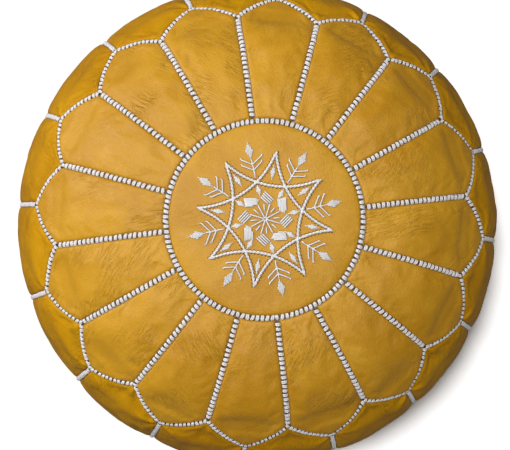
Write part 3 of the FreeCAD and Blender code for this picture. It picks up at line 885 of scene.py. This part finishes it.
def sprig(angle, rng):
    """The threads of a stem with two pairs of leaves, each leaf ended by a knot."""
    out = flat_polar(1.0, angle)
    stem = np.linspace(STEM_START, STEM_END, 20)[:, None] * out
    threads = [stem_stitch(stem, 6.2 * MM, 5.0 * MM, 0.5 * MM, rng)]
    for root in LEAF_ROOTS:
        for way in (-1, 1):
            side = np.array([-out[1], out[0]]) * way
            tip = out * (root + LEAF_OUT) + side * (LEAF_ACROSS + rng.normal(0, 0.5 * MM))
            knot = tip + unit(out * 1.0 + side * 0.2) * KNOT_LENGTH
            threads += [(out[None] * root, tip[None]), (tip[None], knot[None])]
    return threads


def embroider(surface, thread):
    """The snowflake on the medallion. Gives the places of the needle holes beside the star."""
    rng = np.random.default_rng(70)
    tips = STAR_TURN + STAR_STEP * np.arange(STAR_POINTS)
    crossings = tips + STAR_STEP / 2

    star = [stem_stitch(star_side(a), 5.2 * MM, 3.8 * MM, 1.75 * MM, rng) for a in tips]
    lozenges = [satin(lozenge(a, *BIG_LOZENGE), a, 1.1 * MM, rng) for a in crossings]
    lozenges += [satin(lozenge(a, *TIP_LOZENGE), a, 1.0 * MM, rng) for a in tips]
    lozenges += [satin(lozenge(a, *INNER_LOZENGE), a, 1.0 * MM, rng) for a in crossings]

    blocks = []
    for k, angle in enumerate(tips + BLOCK_TURN):
        shape, spacing = (KITE, 2.05 * MM) if k % 2 == 0 else (TRAPEZIUM, 1.5 * MM)
        corners = turned(shape, angle) + flat_polar(BLOCK_RADIUS, angle)
        blocks.append(satin(corners, angle + BLOCK_LEAN, spacing, rng))

    rays = []
    for tip, crossing in zip(tips + RAY_TURN, crossings + RAY_TURN):
        for angle, ray in ((tip, LONG_RAY), (crossing, SHORT_RAY)):
            rays.append([flat_polar(end, [angle]) for end in ray])
    sprigs = [threads for angle in crossings for threads in sprig(angle, rng)]

    def add(name, node, pairs, radius, seed):
        return add_embroidery(surface, thread, name, node, pairs, radius * MM, seed)

    starts, ends = add("star_embroidery", "embroidery_star", star, 0.85, 71)
    add("lozenge_embroidery", "embroidery_lozenges", lozenges, 0.53, 72)
    add("block_embroidery", "embroidery_blocks", blocks, 0.78, 73)
    add("ray_embroidery", "embroidery_rays", rays, 0.74, 74)
    add("sprig_embroidery", "embroidery_sprigs", sprigs, 0.72, 75)
    aside = left_of(starts, ends) * HOLE_RADIUS
    return np.concatenate([starts + aside, ends - aside])


def needle_holes(surface, places, material):
    """The small dents that a needle leaves beside the star's lines, painted dark for the shade inside them.
    """
    sides = 6
    phi = np.arange(sides) / sides * 2 * math.pi
    points, faces = [], []
    for place in places:
        centre = surface.drop(place, UP)
        start = len(points)
        points += [centre + np.array([math.cos(a), math.sin(a), 0.12]) * HOLE_RADIUS for a in phi]
        points += [centre + UP * 0.2 * MM, centre - UP * 0.5 * MM]
        for i in range(sides):
            a, b = start + i, start + (i + 1) % sides
            faces += [(a, b, start + sides), (b, a, start + sides + 1)]
    add_piece("needle_holes", make_mesh("needle_holes", points, faces), material)


# ======== base
def base_height(radius):
    """Height of the base leather's lower face."""
    share = np.clip((radius - BASE_FLAT_RADIUS) / (BASE_RADIUS - BASE_FLAT_RADIUS), 0, 1)
    return BASE_LEVEL + (FOOT_GAP - BASE_LEVEL) * share


def off_zip(y):
    """0 along the zip, where the leather is held flat and clear of the pull, to 1 away from it."""
    return smooth(np.abs(y), 5 * MM, 30 * MM)


def base_half(way):
    """Half of the base as a grid, from the edge along the zip out to the round seam."""
    t = np.linspace(0, 1, BASE_CELLS + 1)
    x = -BASE_RADIUS * np.cos(math.pi * t)
    open_part = smooth(x, SLOT_START - 1 * MM, SLOT_START) * smooth(-x, -SLOT_END - 1 * MM, -SLOT_END)
    near = np.stack([x, SLOT_HALF * open_part], -1)
    far = flat_polar(BASE_RADIUS, 180 - BASE_CORNER + t * (2 * BASE_CORNER - 180))
    left = flat_polar(BASE_RADIUS, 180 - t * BASE_CORNER)
    right = flat_polar(BASE_RADIUS, t * BASE_CORNER)
    u, v = t[None, :, None], t[:, None, None]
    grid = (1 - v) * near[None] + v * far[None] + (1 - u) * left[:, None] + u * right[:, None]
    ends = (1 - u) * (1 - v) * near[0] + u * (1 - v) * near[-1]
    ends = ends + (1 - u) * v * far[0] + u * v * far[-1]
    x, y = np.moveaxis(grid - ends, -1, 0)
    radius = np.hypot(x, y)
    edge = np.minimum(BASE_RADIUS - radius, np.abs(y))
    inside = smooth(x, SLOT_START - 6 * MM, SLOT_START + 2 * MM)
    inside = inside * smooth(-x, -SLOT_END - 6 * MM, -SLOT_END + 2 * MM)
    edge = np.where(inside > 0.5, np.minimum(edge, np.abs(y) - SLOT_HALF + 3 * MM), edge)
    sag = 1.2 * MM * (1 - np.exp(-np.maximum(edge, 0) / (9 * MM))) * off_zip(y)
    place = np.stack([x, y * way, base_height(radius) - sag], -1)
    return (place, edge) if way > 0 else (place[:, ::-1], edge[:, ::-1])


def make_base(material):
    """The base's two halves, with soft wrinkles running in from the round seam."""
    meshes = []
    for name, way, seed, tone in (("base_back", 1, 301, 0.4), ("base_front", -1, 302, 0.6)):
        place, edge = base_half(way)
        x, y = place[..., 0], place[..., 1]
        radius, turn = np.hypot(x, y), np.arctan2(y, x)
        gathers = noise(np.stack([turn * 22, radius / BASE_GATHERS, 0 * turn], -1), seed)
        gathers = gathers * smooth(radius, 0.105, 0.165) * smooth(BASE_RADIUS - radius, 0, 8 * MM)
        swell = layered(place / 0.05, seed + 5, 3) * smooth(edge, 0, 12 * MM)
        rise = (0.9 * MM * gathers + 0.5 * MM * swell) * off_zip(y)
        place = place + grid_normals(place) * rise[..., None]
        values = {
            "seam": np.maximum(edge, 0) / MM,
            # The troughs of the gathers get painted shade through fold.
            "fold": np.clip(-gathers, 0, 1) * 0.7,
            "lie_along": place[..., 0] / MM,
            "lie_across": place[..., 1] / MM,
            "creased": smooth(swell, -0.2, 0.8),
        }
        meshes.append(leather_shell(name + "_leather", place, values, tone))
        add_piece(name + "_leather", meshes[-1], material, name + "_half")
    return meshes


def sew_base(surface, thread, fine_thread):
    """The round base seam, the short seams at the zip's ends, and the rows along the zip."""
    a = np.arange(BASE_RING_STITCHES) / BASE_RING_STITCHES * 2 * math.pi
    centres = np.stack([np.cos(a), np.sin(a), 0 * a], -1) * BASE_RADIUS + UP * FOOT_GAP
    ups = np.broadcast_to(-UP, centres.shape)
    tangents = np.stack([-np.sin(a), np.cos(a), 0 * a], -1)
    sizes = 2.7 * MM, BASE_RING_THREAD
    lines, normals = overcast(surface, centres, ups, tangents, *sizes, 91, lean=0.3 * MM)
    lines = lines + UP * np.maximum(0.9 * MM - lines[..., 2:3], 0)
    ring = [(lines, normals)]
    add_threads("base_ring_stitches", ring, BASE_RING_THREAD, 6, thread, "base_ring_thread")

    parts = []
    rim = BASE_RADIUS - 5 * MM
    for start, end in ((-rim, SLOT_START - 3 * MM), (SLOT_END + 3 * MM, rim)):
        x = np.arange(start, end, 4 * MM)
        centres = np.stack([x, 0 * x, base_height(np.abs(x))], -1)
        ups = np.broadcast_to(-UP, centres.shape)
        tangents = np.broadcast_to([1.0, 0.0, 0.0], centres.shape)
        parts.append(overcast(surface, centres, ups, tangents, 2.0 * MM, BASE_CENTRE_THREAD, 92))
    node = "base_centre_threads"
    add_threads("base_centre_stitches", parts, BASE_CENTRE_THREAD, 6, thread, node)

    x = np.arange(SLOT_START + 5 * MM, SLOT_END - 5 * MM, ZIP_STITCH_PITCH)
    starts = np.concatenate([np.stack([x, 0 * x + y], -1) for y in (-STITCH_ROW, STITCH_ROW)])
    ends = starts + [ZIP_STITCH_LENGTH, 0]
    rows = [lay_threads(surface, starts, ends, ZIP_THREAD, np.random.default_rng(93), -UP)]
    add_threads("zip_stitches", rows, ZIP_THREAD, 6, fine_thread, "zip_stitching")


# ======== inside
def inner_floor(radius, level):
    """The underside of what lies in the cover: hollowed up over the zip, low at the rim."""
    share = np.clip((radius - INNER_FLAT_RADIUS) / (BASE_RADIUS - INNER_FLAT_RADIUS), 0, 1)
    return level + (FOOT_GAP + INNER_CLEARANCE - LINER_LEVEL) * share


def stuffed_bag(name, inset, level, wall, swell, material, node):
    """A soft closed bag that fills the cover: wrinkled, flat underneath, hollow if it has a wall."""
    turns = np.linspace(0, 360, BAG_COLUMNS + 1)[:-1]
    s = np.linspace(0, BODY.length - BAG_END, BAG_ROWS)[1:]
    side = BODY.at(s[:, None], turns[None, :], -inset)
    shrink = np.linspace(1, 0, BAG_FLOOR_ROWS)[1:-1, None, None]
    rows = np.concatenate([side, side[-1:] * shrink])
    floor = inner_floor(np.hypot(rows[..., 0], rows[..., 1]), level)
    rows[..., 2] = np.maximum(rows[..., 2], floor)
    rows[len(side) :, :, 2] = floor[len(side) :]
    heights = layered(rows / BAG_WRINKLE, 400 + len(name), 4)
    inward = -unit(rows - [0, 0, BAG_MIDDLE])
    rows = rows + inward * (swell * (0.5 + 0.5 * np.clip(heights, -1, 1)))[..., None]
    rows[..., 2] = np.maximum(rows[..., 2], floor)
    skins = [(rows, level)]
    if wall:
        skins.append((rows + inward * wall, level + wall))
    points, faces = [], []
    for grid, foot in skins:
        n = len(points) + np.arange(grid[..., 0].size).reshape(grid.shape[:2])
        points += grid.reshape(-1, 3).tolist() + [[0, 0, grid[0, :, 2].mean()], [0, 0, foot]]
        ring = np.concatenate([n, n[:, :1]], 1)
        skin = [f[::-1] for f in grid_quads(ring).tolist()]
        skin += [(len(points) - 2, a, b) for a, b in zip(ring[0], ring[0, 1:])]
        skin += [(len(points) - 1, b, a) for a, b in zip(ring[-1], ring[-1, 1:])]
        faces += skin if grid is rows else [f[::-1] for f in skin]
    add_piece(name, make_mesh(name, points, faces), material, node)


# ======== materials
def scaled(colour, share):
    return tuple(share * c for c in colour)


class Nodes:
    """Short ways to wire the nodes of a material or a world."""

    def __init__(self, owner):
        owner.use_nodes = True
        self.owner = owner
        self.tree = owner.node_tree
        self.surface = self.tree.get_output_node("ALL").inputs["Surface"]
        self.shader = self.surface.links[0].from_node
        self.coordinates = self.add("ShaderNodeTexCoord").outputs
        self.place = self.coordinates["Object"]

    def add(self, kind, **values):
        node = self.tree.nodes.new(kind)
        for key, value in values.items():
            setattr(node, key, value)
        return node

    def put(self, socket, value):
        """Links an input to an output, or sets it."""
        if isinstance(value, bpy.types.NodeSocket):
            self.tree.links.new(value, socket)
        elif socket.type == "RGBA":
            socket.default_value = (*value, 1.0)
        else:
            socket.default_value = value

    def feed(self, node, **inputs):
        """Puts inputs by name, with _ for a space, and gives the node's first output."""
        for key, value in inputs.items():
            self.put(node.inputs[key.replace("_", " ")], value)
        return node.outputs[0]

    def stretched(self, scale, turn):
        return self.feed(self.add("ShaderNodeMapping"), Vector=self.place, Scale=scale, Rotation=turn)

    def noise(self, scale, detail=3.0, roughness=0.55, vector=None, distortion=0.0):
        values = {"Scale": scale, "Detail": detail, "Roughness": roughness, "Distortion": distortion}
        return self.feed(self.add("ShaderNodeTexNoise"), Vector=vector or self.place, **values)

    def cells(self, scale):
        return self.feed(self.add("ShaderNodeTexVoronoi"), Vector=self.place, Scale=scale)

    def attribute(self, name):
        return self.add("ShaderNodeAttribute", attribute_name=name).outputs["Fac"]

    def parts(self, vector):
        """The x, y and z of a vector."""
        node = self.add("ShaderNodeSeparateXYZ")
        self.feed(node, Vector=vector)
        return node.outputs

    def crevice(self, distance):
        """0 in the open, towards 1 deep in a crease or close beside a thread."""
        node = self.add("ShaderNodeAmbientOcclusion", samples=6)
        self.feed(node, Distance=distance)
        return self.maths("SUBTRACT", 1.0, node.outputs["AO"])

    def maths(self, operation, a, b=0.0):
        node = self.add("ShaderNodeMath", operation=operation)
        self.put(node.inputs[0], a)
        self.put(node.inputs[1], b)
        return node.outputs[0]

    def ranged(self, value, low, high, to_low=0.0, to_high=1.0, kind="SMOOTHSTEP"):
        node = self.add("ShaderNodeMapRange", interpolation_type=kind)
        return self.feed(node, Value=value, From_Min=low, From_Max=high, To_Min=to_low, To_Max=to_high)

    def mix(self, factor, a, b, blend="MIX"):
        node = self.add("ShaderNodeMix", data_type="RGBA", blend_type=blend)
        for number, value in ((0, factor), (6, a), (7, b)):
            self.put(node.inputs[number], value)
        return node.outputs[2]

    def tint(self, colour, other, value, low, high, to_high=1.0, to_low=0.0):
        """Mixes another colour in as a value rises from low to high."""
        return self.mix(self.ranged(value, low, high, to_low, to_high), colour, other)

    def bump(self, height, distance, strength=1.0, under=None):
        node = self.add("ShaderNodeBump")
        if under is not None:
            self.feed(node, Normal=under)
        return self.feed(node, Distance=distance, Strength=strength, Height=height)

    def finish(self, **inputs):
        """Feeds the shader and gives the material."""
        self.feed(self.shader, **inputs)
        return self.owner


def new_material(name):
    return Nodes(bpy.data.materials.new(name))


def leather_material(name, warm, deep, pale, gloss=0.5, foot_shade=0.0):
    """Soft waxed goatskin: mottled tan, fine grain; painted shade in folds, creases and crevices, dirt and
    painted shade along the seams, and painted shade low down near the floor on the side leather.
    """
    m = new_material(name)
    blotch = m.noise(9, 4, 0.6, distortion=0.6)
    tone = m.attribute("tone")
    seam = m.attribute("seam")
    colour = m.tint(deep, warm, blotch, 0.35, 0.68)
    colour = m.tint(colour, pale, m.noise(38, 3, 0.6), 0.45, 0.75, 0.35)
    colour = m.mix(m.maths("MULTIPLY", tone, 0.5), colour, deep)
    pores = m.cells(620)
    grain = m.ranged(pores, 0.0, 0.55, 0.55, 1.0)
    colour = m.mix(0.22, colour, m.mix(1.0, colour, grain, "MULTIPLY"))
    # Painted shade: darker where the leather folds.
    colour = m.tint(colour, scaled(deep, 0.45), m.attribute("fold"), 0.15, 0.9, 0.45)
    # Darker along the seams: dirt, and painted shade where the leather dips into the seam.
    colour = m.tint(colour, scaled(deep, 0.22), seam, 2.6, 4.0, to_low=0.5, to_high=0.0)
    # Painted shade: darker in crevices and close beside the threads, from an occlusion test.
    colour = m.tint(colour, scaled(deep, 0.15), m.crevice(2.2 * MM), 0.08, 0.5, 0.7)
    height = m.parts(m.place)[2]
    # Painted shade: the leather darker towards its foot, near the floor.
    colour = m.tint(colour, scaled(deep, 0.3), height, 6 * MM, 48 * MM, to_low=foot_shade, to_high=0.0)

    along = m.maths("DIVIDE", m.attribute("lie_along"), 20.0)
    across = m.maths("DIVIDE", m.attribute("lie_across"), 2.6)
    lie = m.feed(m.add("ShaderNodeCombineXYZ"), X=along, Y=across, Z=m.maths("MULTIPLY", tone, 40.0))
    streak = m.noise(1.0, 3, 0.5, lie, 0.6)
    ridged = m.ranged(m.maths("ABSOLUTE", m.maths("SUBTRACT", streak, 0.5)), 0.0, 0.05)
    crease = m.maths("MULTIPLY", m.maths("SUBTRACT", ridged, 1.0), m.attribute("creased"))
    # Painted shade along the fine creases.
    colour = m.mix(m.maths("MULTIPLY", crease, -0.14), colour, scaled(deep, 0.5))

    wrinkle = m.noise(260, 5, 0.68, distortion=1.0)
    uneven = m.ranged(blotch, 0.3, 0.7, -0.03, 0.05)
    rough = m.maths("ADD", m.ranged(wrinkle, 0.3, 0.7, 0.40, 0.52), uneven)
    normal = m.bump(crease, 0.00045, 0.9)
    normal = m.bump(wrinkle, 0.0008, 0.7, normal)
    normal = m.bump(pores, 0.00025, 0.6, normal)
    normal = m.bump(m.noise(1500, 2), 0.0001, 0.6, normal)
    return m.finish(Base_Color=colour, Roughness=rough, Normal=normal, IOR=1.46, Specular_IOR_Level=gloss)


def thread_material(name, white, shade, twist):
    """Plied cotton thread: fine diagonal twist, with painted shade between the plies."""
    m = new_material(name)
    along = m.maths("DIVIDE", m.attribute("along"), twist)
    turns = m.maths("ADD", along, m.maths("MULTIPLY", m.attribute("around"), 2.0))
    ply = m.maths("SINE", m.maths("MULTIPLY", turns, 2 * math.pi))
    # Painted shade in the grooves between the plies.
    colour = m.tint(white, shade, ply, -1.0, 0.2, to_low=0.3, to_high=0.0)
    colour = m.tint(colour, shade, m.noise(60, 3, 0.6), 0.5, 0.8, 0.2)
    colour = m.mix(m.maths("MULTIPLY", m.attribute("tone"), 0.12), colour, shade)
    fibre = m.noise(2600, 3, 0.6)
    normal = m.bump(fibre, 0.00012, 0.5, m.bump(ply, 0.00025, 0.7))
    return m.finish(Base_Color=colour, Normal=normal, Roughness=0.62, Sheen_Weight=0.25, Sheen_Roughness=0.4)


def hole_material():
    """Leather pierced by the needle: painted dark for the shade inside the hole, and rough."""
    m = new_material("needle_hole")
    shade = m.noise(900, 2)
    colour = m.tint((0.10, 0.045, 0.008), (0.20, 0.095, 0.02), shade, 0.3, 0.7)
    return m.finish(Base_Color=colour, Roughness=0.85, Normal=m.bump(shade, 0.0003, 0.6))


def weave_material(name, warp, weft, scale, roughness):
    """Plain weave: two sets of threads that pass over and under each other."""
    m = new_material(name)
    x, y, z = (m.maths("MULTIPLY", part, scale) for part in m.parts(m.place))
    a = m.maths("SINE", m.maths("ADD", x, z))
    b = m.maths("SINE", m.maths("ADD", y, m.maths("MULTIPLY", z, 0.7)))
    over = m.maths("MULTIPLY", a, b)
    slub = m.noise(140, 4, 0.6)
    colour = m.tint(warp, weft, over, -0.6, 0.6)
    colour = m.tint(colour, warp, slub, 0.4, 0.75, 0.35)
    colour = m.tint(colour, scaled(warp, 0.6), m.noise(12, 4, 0.6), 0.45, 0.8, 0.3)
    normal = m.bump(slub, 0.0004, 0.5, m.bump(over, 0.00018, 0.8))
    return m.finish(Base_Color=colour, Normal=normal, Roughness=roughness, Sheen_Weight=0.2)


def wadding_material():
    """Loose cotton wadding: matted fibres in soft clumps."""
    m = new_material("wadding")
    clump = m.noise(45, 5, 0.65, distortion=1.0)
    fibre = m.noise(380, 5, 0.75, m.stretched((1, 0.2, 0.5), (0.4, 0.3, 0.8)), 2.5)
    colour = m.tint((0.70, 0.68, 0.62), (0.86, 0.85, 0.80), clump, 0.3, 0.7)
    colour = m.tint(colour, (0.60, 0.58, 0.52), fibre, 0.35, 0.7, 0.4)
    normal = m.bump(fibre, 0.001, 0.8, m.bump(clump, 0.004, 0.7))
    return m.finish(Base_Color=colour, Normal=normal, Roughness=0.95, Sheen_Weight=0.5)


def brass_material(name, bright, dull, roughness):
    """Brass that has been handled: tarnish in patches, fine scratches, brighter raised edges."""
    m = new_material(name)
    patch = m.noise(420, 4, 0.6, distortion=0.5)
    scratch = m.noise(1800, 3, 0.6, m.stretched((0.08, 1, 1), (0.0, 0.0, 0.5)))
    worn = m.ranged(m.add("ShaderNodeNewGeometry").outputs["Pointiness"], 0.50, 0.56)
    colour = m.tint(dull, bright, patch, 0.35, 0.7)
    colour = m.mix(worn, colour, tuple(min(1.0, c) for c in scaled(bright, 1.15)))
    rough = m.ranged(scratch, 0.3, 0.75, roughness - 0.07, roughness + 0.1)
    rough = m.maths("SUBTRACT", rough, m.maths("MULTIPLY", worn, 0.1))
    normal = m.bump(scratch, 0.00005, 0.5, m.bump(patch, 0.0001, 0.3))
    return m.finish(Base_Color=colour, Roughness=rough, Normal=normal, Metallic=1.0)


def dress_cad_nodes():
    """Materials for the zip's parts, whose CAD shapes are the ones shown."""
    tape = weave_material("zip_tape", (0.13, 0.068, 0.022), (0.20, 0.11, 0.04), 5200, 0.85)
    metal = brass_material("zip_metal", (0.86, 0.63, 0.27), (0.62, 0.42, 0.16), 0.45)
    slider = brass_material("zip_slider_metal", (0.88, 0.65, 0.30), (0.70, 0.49, 0.20), 0.36)
    wanted = (
        (tape, ("tape_front", "tape_back")),
        (metal, ("teeth_front", "teeth_back", "top_stops", "bottom_stop")),
        (slider, ("slider", "pull")),
    )
    for material, names in wanted:
        for name in names:
            for place in frame["nodes"]["zip_" + name].material_slots:
                place.material = material


TOP_COLOURS = (0.64, 0.322, 0.010), (0.53, 0.248, 0.005), (0.68, 0.365, 0.028)
SIDE_COLOURS = (0.61, 0.298, 0.003), (0.50, 0.228, 0.002), (0.65, 0.335, 0.006)
BASE_COLOURS = (0.50, 0.250, 0.016), (0.40, 0.19, 0.010), (0.56, 0.29, 0.03)
LEATHER_TOP = leather_material("leather_top", *TOP_COLOURS)
LEATHER_SIDE = leather_material("leather_side", *SIDE_COLOURS, gloss=0.12, foot_shade=0.75)
LEATHER_BASE = leather_material("leather_base", *BASE_COLOURS)
THREAD = thread_material("seam_thread", (0.90, 0.88, 0.88), (0.42, 0.38, 0.42), 1.5)
EMBROIDERY = thread_material("embroidery_thread", (0.97, 0.96, 0.95), (0.60, 0.56, 0.56), 1.1)
FINE_THREAD = thread_material("zip_stitch", (0.58, 0.45, 0.24), (0.36, 0.26, 0.13), 0.7)
HOLE = hole_material()
COTTON = weave_material("cotton", (0.62, 0.58, 0.48), (0.74, 0.71, 0.62), 4200, 0.9)
WADDING = wadding_material()


def make_floor():
    """A pale floor that reads as white with a soft shadow, and can be looked through from below."""
    m = new_material("floor_pale")
    speckle = m.ranged(m.noise(300, 2), 0.0, 1.0, 2.02, 2.08)
    sides = m.add("ShaderNodeMixShader")
    m.put(sides.inputs[0], m.add("ShaderNodeNewGeometry").outputs["Backfacing"])
    m.put(sides.inputs[1], m.feed(m.add("ShaderNodeBsdfDiffuse"), Color=speckle))
    m.put(sides.inputs[2], m.add("ShaderNodeBsdfTransparent").outputs[0])
    m.put(m.surface, sides.outputs[0])
    corners = [(x * FLOOR_HALF, y * FLOOR_HALF, 0) for x, y in ((-1, -1), (1, -1), (1, 1), (-1, 1))]
    floor = add_object("floor", make_mesh("floor", corners, [(0, 1, 2, 3)]))
    floor.data.materials.append(m.owner)
    for rays in ("visible_diffuse", "visible_glossy", "visible_transmission", "visible_shadow"):
        setattr(floor, rays, False)
    return floor


def add_light(name, kind, direction, power, distance=0.0, **shape):
    """A lamp that shines from a direction, given as (azimuth from +X, elevation). A sun has no distance."""
    data = bpy.data.lights.new(name, kind)
    data.energy = power
    for key, value in shape.items():
        setattr(data, key, value)
    a, e = np.radians(direction)
    back = Vector((math.cos(a) * math.cos(e), math.sin(a) * math.cos(e), math.sin(e)))
    light = add_object(name, data)
    if distance:
        light.location = LIGHT_AIM + back * distance
    light.rotation_euler = back.to_track_quat("Z", "Y").to_euler()
    return light


def link_light(light, objects, state):
    """Keeps a light off some objects, or for them alone."""
    receivers = bpy.data.collections.new("receivers_" + light.name)
    for thing in objects:
        receivers.objects.link(thing)
    light.light_linking.receiver_collection = receivers
    for entry in receivers.collection_objects:
        entry.light_linking.link_state = state


def light_room(world):
    """Faint light from the room above, and more from below, where a pale floor throws it back."""
    w = Nodes(world)
    height = w.parts(w.coordinates["Generated"])[2]
    upper = w.ranged(height, -0.3, 0.05, FLOOR_GLOW, ROOM_GLOW, "LINEAR")
    lower = w.ranged(height, -1.0, -0.3, UNDER_GLOW, FLOOR_GLOW, "LINEAR")
    seen = w.add("ShaderNodeLightPath").outputs["Is Camera Ray"]
    strength = w.maths("MAXIMUM", seen, w.maths("MINIMUM", upper, lower))
    w.finish(Color=(1, 1, 1), Strength=strength)


def make_lights(floor):
    """Soft boxes for the cover, a sun for the floor alone, and a light from below for the base alone."""
    world = bpy.data.worlds.new("studio")
    bpy.context.scene.world = world
    light_room(world)
    link_light(add_light("overhead", "AREA", (150, 82), 57, 2.4, size=2.4), [floor], "EXCLUDE")
    link_light(add_light("key", "AREA", (155, 28), 24.5, 2.2, size=0.9), [floor], "EXCLUDE")
    link_light(add_light("floor_sun", "SUN", (150, 75.5), 1.5, angle=math.radians(9)), [floor], "INCLUDE")
    underside = [o for o in bpy.context.scene.objects if o.name.startswith(("base_", "zip_"))]
    link_light(add_light("under_light", "AREA", (215, -62), 24, 2.0, size=1.0), underside, "INCLUDE")


def make_camera():
    """Above the seat, looking down and leaning a little to the front left."""
    data = bpy.data.cameras.new("camera")
    camera = add_object("camera", data)
    tilt = math.radians(CAMERA_TILT)
    back = (CAMERA_LEAN * math.sin(tilt) + Vector((0, 0, math.cos(tilt)))).normalized()
    camera.location = CAMERA_AIM + back * CAMERA_DISTANCE
    right = Vector((0, 1, 0)).cross(back).normalized()
    camera.rotation_mode = "QUATERNION"
    camera.rotation_quaternion = Matrix((right, back.cross(right), back)).transposed().to_quaternion()
    data.sensor_width = 36
    data.lens = CAMERA_LENS
    data.clip_start = 0.01
    bpy.context.scene.camera = camera


def dress_panels(panels):
    """The finished leather of each panel, as pieces. Gives their meshes."""
    rng = np.random.default_rng(4)
    meshes = []
    for panel in panels:
        kind = panel.node.split("_")[0]
        tone = 0.05 if kind == "medallion" else 0.45 * rng.random()
        slot, material = ("leather_side", LEATHER_SIDE) if kind == "side" else ("leather_top", LEATHER_TOP)
        name = panel.node + "_leather"
        meshes.append(leather_shell(name, *finish_panel(panel, *FINE_CELLS[kind]), tone))
        add_piece(name, meshes[-1], material, panel.node)
    return meshes


def main():
    petals = [petal_panel(k) for k in range(PITCH_COUNT)]
    panels = [medallion_panel()] + petals + [side_panel(k) for k in range(PITCH_COUNT)]
    stuff(panels)
    meshes = dress_panels(panels)
    sew(Surface(meshes), THREAD)
    medallion = Surface(meshes[:1])
    needle_holes(medallion, embroider(medallion, EMBROIDERY), HOLE)
    meshes += make_base(LEATHER_BASE)
    sew_base(Surface(meshes), THREAD, FINE_THREAD)
    stuffed_bag("liner_bag", 6 * MM, LINER_LEVEL, 0.8 * MM, 2.5 * MM, COTTON, "inner_liner")
    fill_level = LINER_LEVEL + INNER_CLEARANCE
    stuffed_bag("wadding_fill", 12 * MM, fill_level, 0, 9 * MM, WADDING, "filling")
    dress_cad_nodes()
    make_lights(make_floor())
    make_camera()
    bpy.context.scene.view_settings.view_transform = "Standard"


main()
